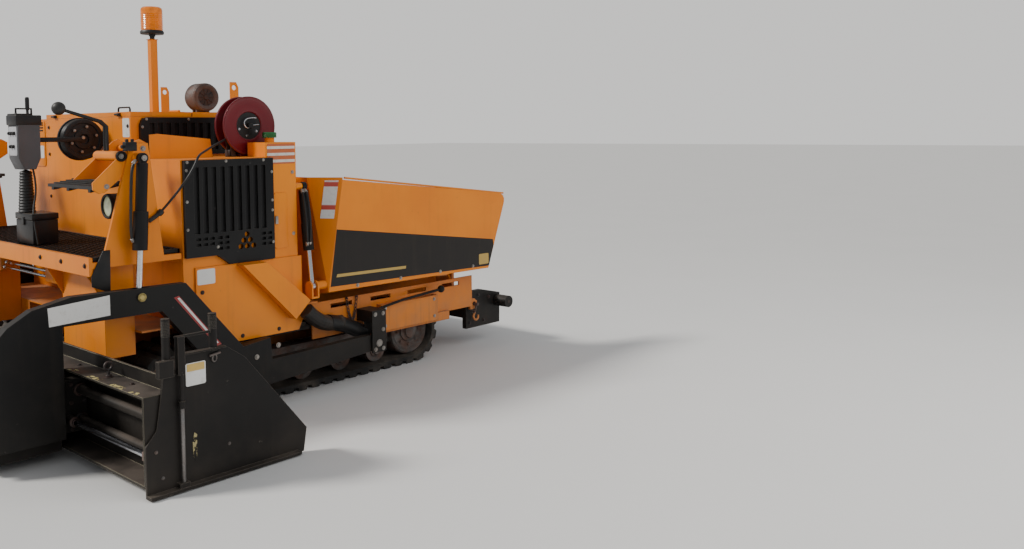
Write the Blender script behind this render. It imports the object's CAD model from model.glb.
"""Looks of a tracked asphalt paver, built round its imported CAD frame.

Metres, +X forward, +Y to the machine's left, +Z up and the ground at z = 0, as in
the CAD. The near side of the picture is the machine's right, at negative Y.
"""

import logging
import math
from collections.abc import Callable, Sequence
from dataclasses import dataclass, field
from enum import Enum
from typing import Any, ClassVar

import bpy
from mathutils import Matrix, Vector


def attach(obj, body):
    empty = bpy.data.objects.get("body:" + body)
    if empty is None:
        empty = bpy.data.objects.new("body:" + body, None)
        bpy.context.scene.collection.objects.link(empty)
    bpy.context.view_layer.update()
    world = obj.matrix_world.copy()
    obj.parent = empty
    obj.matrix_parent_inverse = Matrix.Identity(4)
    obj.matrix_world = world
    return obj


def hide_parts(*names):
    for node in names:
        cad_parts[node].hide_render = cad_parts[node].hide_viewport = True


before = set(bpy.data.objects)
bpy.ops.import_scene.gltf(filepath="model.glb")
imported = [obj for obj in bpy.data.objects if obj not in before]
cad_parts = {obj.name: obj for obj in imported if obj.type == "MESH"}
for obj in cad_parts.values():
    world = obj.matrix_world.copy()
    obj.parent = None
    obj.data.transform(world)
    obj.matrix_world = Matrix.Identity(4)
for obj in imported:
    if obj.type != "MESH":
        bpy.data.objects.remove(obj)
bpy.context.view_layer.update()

LOG = logging.getLogger("paver")

Colour = tuple[float, float, float]
Point = tuple[float, float, float]
Flat = tuple[float, float]
Thing = bpy.types.Object

AHEAD, BACK = (1, 0, 0), (-1, 0, 0)
LEFTWARDS, RIGHTWARDS = (0, 1, 0), (0, -1, 0)
UP = (0, 0, 1)


class Side(Enum):
    """The two sides of the machine, with the sign of Y on each."""

    RIGHT = -1
    LEFT = 1

    @property
    def tag(self) -> str:
        """The word that ends the names of this side's bodies and pieces."""
        return self.name.lower()

    @property
    def out(self) -> Point:
        """The direction away from the centreline."""
        return (0, self.value, 0)

    def at(self, x: float, y: float, z: float) -> Point:
        """A point on this side, from y as a distance from the centreline."""
        return (x, self.value * y, z)


class Slot(Enum):
    """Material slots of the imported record."""

    ORANGE = "paint_orange"
    BLACK = "paint_black"
    STEEL = "worn_steel"
    CHROME = "chrome"
    TRACK = "track_rubber"
    RUBBER = "black_rubber"
    AMBER = "amber"
    RED = "reel_red"
    PLASTIC = "grey_plastic"
    RUST = "rusty_steel"
    SCREED = "screed_steel"


class Wire:
    """A socket's value, on which Python's arithmetic adds Math nodes."""

    def __init__(self, graph: "Graph", socket: bpy.types.NodeSocket) -> None:
        """Keeps the graph and the socket."""
        self.graph = graph
        self.socket = socket

    def __add__(self, other: "Wire | float") -> "Wire":
        """Sum."""
        return self.graph.maths("ADD", self, other)

    def __sub__(self, other: "Wire | float") -> "Wire":
        """Difference."""
        return self.graph.maths("SUBTRACT", self, other)

    def __rsub__(self, other: float) -> "Wire":
        """Difference, taken from a number."""
        return self.graph.maths("SUBTRACT", other, self)

    def __mul__(self, other: "Wire | float") -> "Wire":
        """Product."""
        return self.graph.maths("MULTIPLY", self, other)

    def __truediv__(self, other: "Wire | float") -> "Wire":
        """Quotient."""
        return self.graph.maths("DIVIDE", self, other)

    def __pow__(self, other: float) -> "Wire":
        """Power."""
        return self.graph.maths("POWER", self, other)

    __radd__ = __add__
    __rmul__ = __mul__

    def limited(self) -> "Wire":
        """The value held between 0 and 1."""
        return self.graph.between(self, 0.0, 1.0, smooth=False)


class Graph:
    """The node tree of one material."""

    def __init__(self, name: str) -> None:
        """Starts an empty material.

        Args:
            name: The material's name.
        """
        self.material = bpy.data.materials.new(name)
        self.material.use_nodes = True
        self.tree = self.material.node_tree
        self.tree.nodes.clear()
        self._place: Wire | None = None

    def node(self, kind: str, settings: dict[str, Any], values: dict[str | int, Any],
             output: str | int = 0) -> Wire:
        """Makes one node.

        Args:
            kind: The node's type.
            settings: Its properties, set before its sockets.
            values: A value or a Wire for each socket, by name or number.
            output: The output socket that is returned.

        Returns:
            The chosen output.
        """
        made = self.tree.nodes.new(kind)
        for name, value in settings.items():
            setattr(made, name, value)
        for key, value in values.items():
            if isinstance(value, Wire):
                self.tree.links.new(value.socket, made.inputs[key])
            else:
                made.inputs[key].default_value = value
        return Wire(self, made.outputs[output])

    def maths(self, operation: str, a: "Wire | float", b: "Wire | float") -> Wire:
        """A Math node on two values."""
        return self.node("ShaderNodeMath", {"operation": operation}, {0: a, 1: b})

    def place(self) -> Wire:
        """Object coordinates, which are the machine's own at rest."""
        if self._place is None:
            self._place = self.node("ShaderNodeTexCoord", {}, {}, "Object")
        return self._place

    def axis(self, vector: Wire, name: str) -> Wire:
        """One of X, Y and Z of a vector."""
        return self.node("ShaderNodeSeparateXYZ", {}, {0: vector}, name)

    def noise(self, scale: float, detail: float = 4.0, stretch: Point = (1, 1, 1)) -> Wire:
        """Noise on the object coordinates, which may be stretched.

        Args:
            scale: Waves per metre.
            detail: Levels of finer noise.
            stretch: Scale along each axis.

        Returns:
            The noise, from 0 to 1.
        """
        where = self.place()
        if stretch != (1, 1, 1):
            where = self.node("ShaderNodeMapping", {}, {"Vector": where, "Scale": stretch})
        return self.node("ShaderNodeTexNoise", {},
                         {"Vector": where, "Scale": scale, "Detail": detail, "Roughness": 0.6})

    def between(self, value: Wire, low: float, high: float, smooth: bool = True) -> Wire:
        """0 at low and 1 at high, held outside them."""
        kind = "SMOOTHSTEP" if smooth else "LINEAR"
        return self.node("ShaderNodeMapRange", {"interpolation_type": kind, "clamp": True},
                         {"Value": value, "From Min": low, "From Max": high})

    def blend(self, share: "Wire | float", a: "Wire | Colour", b: "Wire | Colour") -> Wire:
        """Colour a where share is 0, and b where it is 1."""
        a, b = (c if isinstance(c, Wire) else (*c, 1.0) for c in (a, b))
        return self.node("ShaderNodeMix", {"data_type": "RGBA"}, {0: share, 6: a, 7: b}, 2)

    def facing_up(self) -> Wire:
        """1 on faces that look up, 0 on walls."""
        normal = self.node("ShaderNodeTexCoord", {}, {}, "Normal")
        return self.between(self.axis(normal, "Z"), 0.35, 0.95)

    def rounded(self, radius: float) -> Wire:
        """Normal that is rounded over the edges."""
        return self.node("ShaderNodeBevel", {"samples": 4}, {"Radius": radius})

    def edges(self, rounded: Wire) -> Wire:
        """1 along edges and 0 on flat faces, from the rounded normal.

        Args:
            rounded: The rounded normal.

        Returns:
            The mask of the edges.
        """
        flat = self.node("ShaderNodeNewGeometry", {}, {}, "Normal")
        same = self.node("ShaderNodeVectorMath", {"operation": "DOT_PRODUCT"},
                         {0: rounded, 1: flat}, "Value")
        return ((1.0 - same) * 5.0).limited()

    def bump(self, height: Wire, distance: float, strength: float, normal: Wire | None = None) -> Wire:
        """Bump of a height, laid over another normal.

        Args:
            height: The height, from 0 to 1.
            distance: Its depth in metres.
            strength: Its share in the normal.
            normal: The normal under it.

        Returns:
            The bumped normal.
        """
        values = {"Height": height, "Distance": distance, "Strength": strength}
        if normal is not None:
            values["Normal"] = normal
        return self.node("ShaderNodeBump", {}, values)

    def shade(self, **sockets: Any) -> bpy.types.Material:
        """Ends the material in a Principled shader.

        Args:
            sockets: Its sockets, with _ for each space in their names.

        Returns:
            The finished material.
        """
        values = {name.replace("_", " "): value for name, value in sockets.items()}
        for name, value in values.items():
            if isinstance(value, tuple) and len(value) == 3:
                values[name] = (*value, 1.0)
        surface = self.node("ShaderNodeBsdfPrincipled", {}, values)
        out = self.tree.nodes.new("ShaderNodeOutputMaterial")
        self.tree.links.new(surface.socket, out.inputs["Surface"])
        return self.material


@dataclass(frozen=True)
class RodZone:
    """A bright rod along Y inside a painted node."""

    x: float
    z: float
    radius: float


@dataclass(frozen=True)
class LowerZone:
    """Where a painted node has another colour: x_share * X + z_share * Z is over the limit there."""

    colour: Colour
    x_share: float
    z_share: float
    limit: float


@dataclass(frozen=True)
class Paint:
    """Paint on steel, with dust, dirty runs and worn edges."""

    name: str
    colour: Colour
    shade: Colour
    roughness: float = 0.38
    coat: float = 0.1
    specular: float = 0.35
    dust: Colour = (0.27, 0.2, 0.14)
    dust_up: float = 0.16
    dust_low: float = 0.3
    dust_height: float = 0.8
    dust_all: float = 0.02
    bare: Colour = (0.13, 0.1, 0.08)
    wear: float = 0.6
    runs: float = 0.25
    edge: float = 0.004
    rods: tuple[RodZone, ...] = ()
    lower: LowerZone | None = None

    ROD: ClassVar[Colour] = (0.62, 0.62, 0.66)

    def make(self) -> bpy.types.Material:
        """Builds the material.

        Returns:
            The material.
        """
        g = Graph(self.name)
        broad, middle, fine = g.noise(1.6, 4), g.noise(8.0, 5), g.noise(70.0, 3)
        drips = g.noise(1.0, 4, (17.0, 17.0, 1.1))
        rounded = g.rounded(self.edge)
        edges = g.edges(rounded)
        height = g.axis(g.place(), "Z")
        low = g.between(height, self.dust_height, 0.0)
        patchy = g.between(broad * 0.5 + middle * 0.5, 0.38, 0.68)
        dusty = ((self.dust_up * g.facing_up() + self.dust_low * low) * (0.45 + patchy)
                 + self.dust_all * patchy + 0.35 * self.dust_up * edges * patchy).limited()
        dirty = self.runs * g.between(drips, 0.52, 0.74) * (0.4 + 0.6 * low + 0.3 * patchy)
        worn = (self.wear * g.between(edges * (0.35 + fine), 0.3, 0.62)
                + 0.5 * self.wear * g.between(g.noise(26.0, 6), 0.69, 0.74)).limited()
        colour = g.blend(g.between(broad, 0.35, 0.7), self.colour, self.shade)
        if self.lower is not None:
            zone = self.lower
            depth = g.axis(g.place(), "X") * zone.x_share + height * zone.z_share
            colour = g.blend(g.between(depth, zone.limit, zone.limit + 0.001), colour, zone.colour)
        colour = g.blend(dirty.limited(), colour, tuple(0.35 * c for c in self.dust))
        colour = g.blend(dusty, colour, self.dust)
        colour = g.blend(worn, colour, self.bare)
        rough = (self.roughness + 0.4 * dusty + 0.12 * (middle - 0.5) + 0.15 * dirty).limited()
        metal = worn * 0.5
        for rod in self.rods:
            across = (g.axis(g.place(), "X") - rod.x) ** 2.0 + (height - rod.z) ** 2.0
            bright = g.between(across, (rod.radius * 1.15) ** 2, (rod.radius * 1.05) ** 2)
            colour = g.blend(bright, colour, self.ROD)
            metal = (metal + bright).limited()
            rough = (rough * (1.0 - 0.75 * bright)).limited()
        waves = g.bump(broad, 0.004, 0.25, rounded)
        skin = g.bump(fine, 0.0006, 0.25, waves)
        return g.shade(Base_Color=colour, Roughness=rough, Metallic=metal, Normal=skin,
                       Specular_IOR_Level=self.specular, Coat_Weight=self.coat, Coat_Roughness=0.15)


@dataclass(frozen=True)
class BareSteel:
    """Steel without paint, from chrome to rust."""

    name: str
    colour: Colour
    roughness: float
    rust: float = 0.0
    grime: float = 0.2
    metallic: float = 1.0

    RUST: ClassVar[Colour] = (0.17, 0.06, 0.025)
    GRIME: ClassVar[Colour] = (0.05, 0.04, 0.035)

    def make(self) -> bpy.types.Material:
        """Builds the material.

        Returns:
            The material.
        """
        g = Graph(self.name)
        broad, fine = g.noise(14.0, 6), g.noise(160.0, 3)
        rounded = g.rounded(0.0015)
        scuffs = g.noise(1.0, 3, (190.0, 24.0, 190.0))
        rusty = (self.rust * g.between(broad * 0.7 + fine * 0.3, 0.38, 0.6)).limited()
        grimy = (self.grime * g.between(g.noise(6.0, 5), 0.42, 0.7)).limited()
        colour = g.blend(g.between(scuffs, 0.4, 0.7), self.colour, tuple(0.8 * c for c in self.colour))
        colour = g.blend(grimy, colour, self.GRIME)
        colour = g.blend(rusty, colour, self.RUST)
        rough = (self.roughness + 0.5 * rusty + 0.4 * grimy + 0.15 * (scuffs - 0.5)).limited()
        metal = (self.metallic * (1.0 - 0.85 * rusty) * (1.0 - 0.6 * grimy)).limited()
        skin = g.bump(fine * (0.2 + rusty), 0.0008, 0.4, rounded)
        return g.shade(Base_Color=colour, Roughness=rough, Metallic=metal, Normal=skin)


@dataclass(frozen=True)
class Rubber:
    """Rubber or soft plastic, dusty where it lies open."""

    name: str
    colour: Colour = (0.018, 0.018, 0.018)
    roughness: float = 0.62
    dust: float = 0.3
    grain: float = 90.0

    DUST: ClassVar[Colour] = (0.2, 0.165, 0.13)

    def make(self) -> bpy.types.Material:
        """Builds the material.

        Returns:
            The material.
        """
        g = Graph(self.name)
        broad, grain = g.noise(7.0, 5), g.noise(self.grain, 4)
        rounded = g.rounded(0.002)
        dusty = (self.dust * (g.between(broad, 0.4, 0.7) * 0.8 + 0.5 * g.facing_up())
                 * (0.4 + grain)).limited()
        colour = g.blend(dusty, self.colour, self.DUST)
        rough = (self.roughness + 0.25 * dusty + 0.1 * (grain - 0.5)).limited()
        return g.shade(Base_Color=colour, Roughness=rough,
                       Normal=g.bump(grain, 0.001, 0.3, rounded))


@dataclass(frozen=True)
class Lens:
    """Tinted clear plastic of a lamp."""

    name: str
    colour: Colour
    glow: float = 0.25

    def make(self) -> bpy.types.Material:
        """Builds the material.

        Returns:
            The material.
        """
        g = Graph(self.name)
        cloud = g.noise(30.0, 3)
        colour = g.blend(g.between(cloud, 0.35, 0.7), self.colour, tuple(0.75 * c for c in self.colour))
        return g.shade(Base_Color=colour, Roughness=(0.1 + 0.15 * cloud).limited(),
                       Emission_Color=colour, Emission_Strength=self.glow,
                       Coat_Weight=0.3, Coat_Roughness=0.08)


@dataclass(frozen=True)
class BlankPlate:
    """A bare sticker or plate, with faded edges and stripes if it has any."""

    name: str
    colour: Colour
    stripe: Colour | None = None
    stripe_pitch: float = 0.045
    stripe_share: float = 0.4
    stripe_from: float = 0.0

    GRIME: ClassVar[Colour] = (0.25, 0.2, 0.15)

    def make(self) -> bpy.types.Material:
        """Builds the material.

        Returns:
            The material.
        """
        g = Graph(self.name)
        cloud, specks = g.noise(22.0, 5), g.noise(120.0, 3)
        colour: Wire | Colour = self.colour
        if self.stripe is not None:
            along = (g.axis(g.place(), "Z") - self.stripe_from) / self.stripe_pitch
            phase = g.maths("FRACT", along, 0.0)
            mask = g.between(phase, self.stripe_share + 0.03, self.stripe_share - 0.03)
            colour = g.blend(mask, self.colour, self.stripe)
        grime = (0.35 * g.between(cloud, 0.5, 0.8) + 0.25 * g.between(specks, 0.6, 0.75)).limited()
        colour = g.blend(grime, colour, self.GRIME)
        return g.shade(Base_Color=colour, Roughness=(0.35 + 0.4 * grime).limited(),
                       Normal=g.bump(specks, 0.0003, 0.2))


@dataclass(frozen=True)
class ChalkMark:
    """A rubbed streak of marking paint with holes in it."""

    name: str
    colour: Colour

    def make(self) -> bpy.types.Material:
        """Builds the material.

        Returns:
            The material.
        """
        g = Graph(self.name)
        patches = g.noise(45.0, 5)
        return g.shade(Base_Color=g.blend(patches, self.colour, tuple(0.7 * c for c in self.colour)),
                       Roughness=(0.7 + 0.1 * patches).limited(),
                       Alpha=g.between(patches, 0.5, 0.56))


Finish = Paint | BareSteel | Rubber | Lens | BlankPlate | ChalkMark

EXTENSION_ROD = RodZone(-1.455, 0.200, 0.016)
ORANGE = Paint("paint_orange", (0.85, 0.25, 0.005), (0.77, 0.205, 0.004))
DEEP_ORANGE = Paint("paint_orange_deck", (0.74, 0.22, 0.012), (0.62, 0.17, 0.01), dust_up=0.45,
                    dust_all=0.1, runs=0.4, wear=0.9)
BLACK = Paint("paint_black", (0.0075, 0.0075, 0.008), (0.012, 0.0115, 0.011), roughness=0.45, coat=0.05,
              specular=0.25, dust=(0.1, 0.08, 0.06), dust_up=0.22, dust_low=0.14, bare=(0.14, 0.12, 0.11),
              wear=0.45)
GRILLE_BLACK = Paint("paint_black_grille", (0.006, 0.006, 0.0065), (0.01, 0.01, 0.0105), roughness=0.42,
                     coat=0.1, specular=0.25, dust=(0.12, 0.1, 0.08), dust_up=0.45, dust_low=0.0,
                     bare=(0.16, 0.15, 0.14), wear=0.35, edge=0.003)
SCREED_BLACK = Paint("screed_steel", (0.009, 0.0085, 0.008), (0.018, 0.015, 0.013), roughness=0.5, coat=0.0,
                     specular=0.25, dust=(0.1, 0.084, 0.07), dust_up=0.6, dust_low=0.12, dust_all=0.04,
                     bare=(0.2, 0.175, 0.14), wear=0.85, edge=0.005)
EXTENSION_BLACK = Paint("screed_steel_extension", (0.009, 0.0085, 0.008), (0.02, 0.017, 0.014),
                        roughness=0.46, coat=0.0, specular=0.25, dust=(0.1, 0.08, 0.066), dust_up=0.65,
                        dust_low=0.08, dust_all=0.06, bare=(0.27, 0.24, 0.17), wear=1.0, edge=0.006,
                        rods=(EXTENSION_ROD,))
REEL_RED = Paint("reel_red", (0.14, 0.006, 0.012), (0.1, 0.004, 0.009), roughness=0.32, coat=0.25,
                 dust_up=0.15, dust_low=0.0, bare=(0.25, 0.2, 0.19), wear=0.3, runs=0.1)
CONSOLE_GREY = Paint("grey_plastic", (0.1, 0.1, 0.108), (0.075, 0.075, 0.08), roughness=0.5, coat=0.0,
                     dust_up=0.2, dust_low=0.0, bare=(0.2, 0.2, 0.2), wear=0.15, runs=0.15)
CONSOLE_BLACK = Paint("console_black", (0.011, 0.011, 0.012), (0.017, 0.017, 0.018), roughness=0.4, coat=0.1,
                      specular=0.3, dust_up=0.15, dust_low=0.0, bare=(0.15, 0.15, 0.15), wear=0.2)
ENGINE_IRON = BareSteel("cast_iron", (0.16, 0.16, 0.17), 0.6, rust=0.3, grime=0.6, metallic=0.5)
WORN_STEEL = BareSteel("worn_steel", (0.2, 0.19, 0.18), 0.45, rust=0.5, grime=0.75, metallic=0.8)
ZINC = BareSteel("zinc_bolts", (0.5, 0.48, 0.44), 0.34, rust=0.2, grime=0.3)
DARK_BOLTS = BareSteel("black_bolts", (0.05, 0.05, 0.052), 0.45, rust=0.3, grime=0.2, metallic=0.6)
CHROME = BareSteel("chrome", (0.78, 0.78, 0.8), 0.12, grime=0.12)
BRASS_CAP = BareSteel("yellow_zinc", (0.62, 0.5, 0.2), 0.4, grime=0.25)
RUSTY = BareSteel("rusty_steel", (0.17, 0.155, 0.15), 0.6, rust=0.45, grime=0.7, metallic=0.6)
TRACK_RUBBER = Rubber("track_rubber", (0.018, 0.017, 0.016), 0.78, dust=0.4, grain=60.0)
HOSE_RUBBER = Rubber("black_rubber", (0.009, 0.009, 0.009), dust=0.06, roughness=0.45)
SOFT_BLACK = Rubber("black_rubber_grip", (0.01, 0.01, 0.01), dust=0.1, roughness=0.5)
AMBER = Lens("amber", (0.8, 0.2, 0.004), glow=0.14)
LAMP_GLASS = Lens("lamp_glass", (0.62, 0.66, 0.42), glow=0.12)
GREEN_CAP = Rubber("green_plastic", (0.008, 0.12, 0.03), 0.4, dust=0.05)
WHITE_PLATE = BlankPlate("blank_white", (0.72, 0.71, 0.68))
YELLOW_PLATE = BlankPlate("blank_yellow", (0.62, 0.42, 0.12))
BAND_BLACK = Paint("band_black", (0.016, 0.013, 0.0115), (0.013, 0.011, 0.01), roughness=0.42, coat=0.05,
                   specular=0.3, dust_up=0.0, dust_low=0.05, wear=0.15, runs=0.15, edge=0.001)
GOLD_PLATE = BlankPlate("blank_gold", (0.5, 0.33, 0.08))
STRIPED_PLATE = BlankPlate("blank_striped", (0.48, 0.115, 0.035), (0.66, 0.62, 0.56), 0.042, 0.4, 1.505)
RED_STRIP = BlankPlate("blank_red", (0.33, 0.03, 0.03))
YELLOW_MARK = ChalkMark("yellow_mark", (0.5, 0.42, 0.2))
CORNER_PLATE = BlankPlate("blank_corner", (0.72, 0.71, 0.68), (0.5, 0.07, 0.05), 0.15, 0.2, 1.335)
PALE_PANEL = Paint("pale_panel", (0.55, 0.56, 0.58), (0.5, 0.5, 0.52), coat=0.0, dust_low=0.0, wear=0.1)
WING_ORANGE = Paint("paint_orange_wing", (0.84, 0.24, 0.005), (0.76, 0.2, 0.004), dust_low=0.1, runs=0.12)
HOPPER_STEEL = Paint("paint_orange_hopper", (0.62, 0.2, 0.02), (0.45, 0.15, 0.02), dust_up=0.8, dust_all=0.3,
                     runs=0.6, wear=1.0)
DUCT = Paint("paint_orange_duct", (0.85, 0.25, 0.005), (0.77, 0.205, 0.004), dust_low=0.15,
             lower=LowerZone((0.009, 0.009, 0.009), 0.687, -0.726, -0.4150))
GATE_BLACK = Paint("screed_steel_gate", (0.0095, 0.0085, 0.008), (0.016, 0.0135, 0.012), roughness=0.48,
                   coat=0.0, specular=0.25, dust=(0.1, 0.082, 0.065), dust_up=0.45, dust_low=0.16,
                   dust_height=0.3, dust_all=0.05, bare=(0.2, 0.17, 0.14), wear=0.75, runs=0.35, edge=0.005)
YELLOW_EDGE = ChalkMark("yellow_edge", (0.62, 0.52, 0.22))
GREY_ROD = BareSteel("grey_rod", (0.3, 0.29, 0.28), 0.42, rust=0.15, grime=0.4)


class Palette:
    """Makes each finish once and hands it out."""

    def __init__(self) -> None:
        """Starts with no material."""
        self._made: dict[str, bpy.types.Material] = {}

    def of(self, finish: Finish) -> bpy.types.Material:
        """The material of a finish."""
        if finish.name not in self._made:
            self._made[finish.name] = finish.make()
        return self._made[finish.name]

    def dress(self, thing: Thing, finish: Finish) -> None:
        """Gives a mesh or a curve one finish all over.

        Args:
            thing: The mesh or curve.
            finish: Its finish.
        """
        slots = thing.data.materials
        if slots:
            slots[0] = self.of(finish)
        else:
            slots.append(self.of(finish))


class Bench:
    """Modelling moves, each made with Blender's own operators."""

    SMOOTH = math.radians(35)
    SHARP = math.radians(32)
    MERGE = 1e-5

    @staticmethod
    def take(*things: Thing) -> None:
        """Selects these things alone, the first of them active.

        Args:
            things: What is selected.
        """
        Bench.clear()
        for thing in things:
            thing.select_set(True)
        bpy.context.view_layer.objects.active = things[0]

    @staticmethod
    def clear() -> None:
        """Deselects everything, so that the next operator works on its new piece alone."""
        bpy.ops.object.select_all(action="DESELECT")

    @staticmethod
    def add(name: str, data: bpy.types.ID) -> Thing:
        """Puts new data into the scene as an object."""
        thing = bpy.data.objects.new(name, data)
        bpy.context.scene.collection.objects.link(thing)
        return thing

    @staticmethod
    def curve(name: str, lines: Sequence[Sequence[Point]], kind: str = "POLY", closed: bool = False,
              **settings: Any) -> Thing:
        """A curve object with one spline through each line of points.

        Args:
            name: The curve's name.
            lines: The points of each spline.
            kind: The splines' type.
            closed: Whether each spline comes back to its start.
            settings: The curve's properties.

        Returns:
            The curve.
        """
        data = bpy.data.curves.new(name, "CURVE")
        for key, value in settings.items():
            setattr(data, key, value)
        for places in lines:
            line = data.splines.new(kind)
            line.points.add(len(places) - 1)
            for point, place in zip(line.points, places):
                point.co = (*place, 1)
            line.use_cyclic_u = closed
        return Bench.add(name, data)

    @staticmethod
    def meshed(curve: Thing) -> Thing:
        """Turns a curve into a mesh."""
        Bench.take(curve)
        bpy.ops.object.convert(target="MESH")
        return bpy.context.object

    @staticmethod
    def modify(thing: Thing, kind: str, **settings: Any) -> Thing:
        """Adds a modifier and applies it.

        Args:
            thing: The mesh.
            kind: The modifier's type.
            settings: Its properties.

        Returns:
            The same mesh.
        """
        modifier = thing.modifiers.new(kind.lower(), kind)
        for name, value in settings.items():
            setattr(modifier, name, value)
        Bench.take(thing)
        bpy.ops.object.modifier_apply(modifier=modifier.name)
        return thing

    @staticmethod
    def bevel(thing: Thing, width: float, segments: int = 2) -> Thing:
        """Rounds the sharp edges of a mesh."""
        return Bench.modify(thing, "BEVEL", width=width, segments=segments,
                            limit_method="ANGLE", angle_limit=Bench.SHARP)

    @staticmethod
    def mend(thing: Thing) -> Thing:
        """Merges doubles and turns every face outwards.

        Args:
            thing: The mesh.

        Returns:
            The same mesh.
        """
        Bench.take(thing)
        bpy.ops.object.mode_set(mode="EDIT")
        bpy.ops.mesh.select_all(action="SELECT")
        bpy.ops.mesh.remove_doubles(threshold=Bench.MERGE)
        bpy.ops.mesh.normals_make_consistent(inside=False)
        bpy.ops.object.mode_set(mode="OBJECT")
        return thing

    @staticmethod
    def pick_faces(thing: Thing, test: Callable[[Vector, Vector], bool]) -> None:
        """Enters edit mode with the faces selected whose centre and normal pass the test.

        Args:
            thing: The mesh.
            test: Tells by centre and normal which faces are picked.
        """
        Bench.take(thing)
        bpy.ops.object.mode_set(mode="EDIT")
        bpy.ops.mesh.select_mode(type="FACE")
        bpy.ops.mesh.select_all(action="DESELECT")
        bpy.ops.object.mode_set(mode="OBJECT")
        for face in thing.data.polygons:
            face.select = test(face.center, face.normal)
        bpy.ops.object.mode_set(mode="EDIT")

    @staticmethod
    def inset(thing: Thing, test: Callable[[Vector, Vector], bool], border: float, depth: float) -> Thing:
        """Insets the faces that pass the test and moves them along their normals.

        Args:
            thing: The mesh.
            test: Tells by centre and normal which faces are worked on.
            border: Width of the border that is left.
            depth: How far the inner part goes in, or out if it is negative.

        Returns:
            The same mesh.
        """
        Bench.pick_faces(thing, test)
        bpy.ops.mesh.inset(thickness=border, depth=-depth)
        bpy.ops.object.mode_set(mode="OBJECT")
        return thing

    @staticmethod
    def box(low: Point, high: Point, edge: float = 0.003) -> Thing:
        """A block between two corners with rounded edges.

        Args:
            low: One corner.
            high: The opposite corner.
            edge: Width of the rounded edges.

        Returns:
            The block.
        """
        centre = [(a + b) / 2 for a, b in zip(low, high)]
        Bench.clear()
        bpy.ops.mesh.primitive_cube_add(size=1, location=centre)
        thing = bpy.context.object
        thing.scale = [abs(b - a) for a, b in zip(low, high)]
        bpy.ops.object.transform_apply(location=False, rotation=False, scale=True)
        return Bench.bevel(thing, edge) if edge else thing

    @staticmethod
    def rod(start: Point, end: Point, radius: float, sides: int = 20, edge: float = 0.0015,
            tip: float | None = None) -> Thing:
        """A round bar from start to end, or a cone if it has a tip radius.

        Args:
            start: Centre of one end.
            end: Centre of the other end.
            radius: The bar's radius.
            sides: Steps round it.
            edge: Width of the rounded edges.
            tip: Radius at the end, if it differs.

        Returns:
            The bar.
        """
        a, b = Vector(start), Vector(end)
        Bench.clear()
        bpy.ops.mesh.primitive_cone_add(
            vertices=sides, radius1=radius, radius2=radius if tip is None else tip,
            depth=(b - a).length, location=(a + b) / 2,
            rotation=(b - a).to_track_quat("Z", "Y").to_euler())
        thing = bpy.context.object
        return Bench.bevel(thing, edge, 1) if edge else thing

    @staticmethod
    def lathe(profile: Sequence[Flat], base: Point, axis: Point, sides: int = 32) -> Thing:
        """Turns a profile round an axis.

        Args:
            profile: Radius and height of each point, from the base up.
            base: Where height 0 sits on the axis.
            axis: The axis' direction.
            sides: Steps round the axis.

        Returns:
            The turned mesh.
        """
        line = [(radius, 0, height) for radius, height in profile]
        thing = Bench.meshed(Bench.curve("profile", [line], dimensions="3D"))
        Bench.modify(thing, "SCREW", steps=sides, render_steps=sides, use_merge_vertices=True,
                     merge_threshold=Bench.MERGE)
        thing.rotation_mode = "QUATERNION"
        thing.rotation_quaternion = Vector(axis).to_track_quat("Z", "Y")
        thing.location = base
        return Bench.mend(thing)

    @staticmethod
    def tube(route: Sequence[Point], radius: float, sides: int = 3, soft: bool = True) -> Thing:
        """A tube along a route, smooth or with straight runs.

        Args:
            route: The centreline.
            radius: The tube's radius.
            sides: Resolution of its round.
            soft: Whether the route is smoothed.

        Returns:
            The tube.
        """
        thing = Bench.curve("tube", [route], "NURBS" if soft else "POLY", dimensions="3D",
                            bevel_depth=radius, bevel_resolution=sides, use_fill_caps=True)
        if soft:
            line = thing.data.splines[0]
            line.order_u = min(4, len(route))
            line.use_endpoint_u = True
            line.resolution_u = 5
        return Bench.mend(Bench.meshed(thing))

    @staticmethod
    def plate(outlines: Sequence[Sequence[Flat]], origin: Point, across: Point, up: Point,
              thickness: float, edge: float = 0.0) -> Thing:
        """A plate of any outline, centred on the plane of across and up through origin.

        Args:
            outlines: The outer outline, and any holes, as distances across and up.
            origin: The plane's own zero.
            across: Direction of the first distance.
            up: Direction of the second distance.
            thickness: The plate's thickness.
            edge: Width of its rounded edges.

        Returns:
            The plate.
        """
        lines = [[(u, v, 0) for u, v in outline] for outline in outlines]
        thing = Bench.meshed(Bench.curve("plate", lines, closed=True, dimensions="2D", fill_mode="BOTH",
                                         extrude=thickness / 2))
        u, v = Vector(across).normalized(), Vector(up).normalized()
        place = Matrix((u, v, u.cross(v))).transposed().to_4x4()
        place.translation = Vector(origin)
        thing.matrix_world = place
        Bench.mend(thing)
        return Bench.bevel(thing, edge, 2) if edge else thing

    @staticmethod
    def side_plate(outlines: Sequence[Sequence[Flat]], y: float, thickness: float,
                   edge: float = 0.0) -> Thing:
        """An upright plate that looks sideways, from outlines in x and z."""
        return Bench.plate(outlines, (0, y, 0), AHEAD, UP, thickness, edge)

    @staticmethod
    def rear_plate(outlines: Sequence[Sequence[Flat]], x: float, thickness: float,
                   edge: float = 0.0) -> Thing:
        """An upright plate that looks back, from outlines in y and z."""
        return Bench.plate(outlines, (x, 0, 0), LEFTWARDS, UP, thickness, edge)

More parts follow.
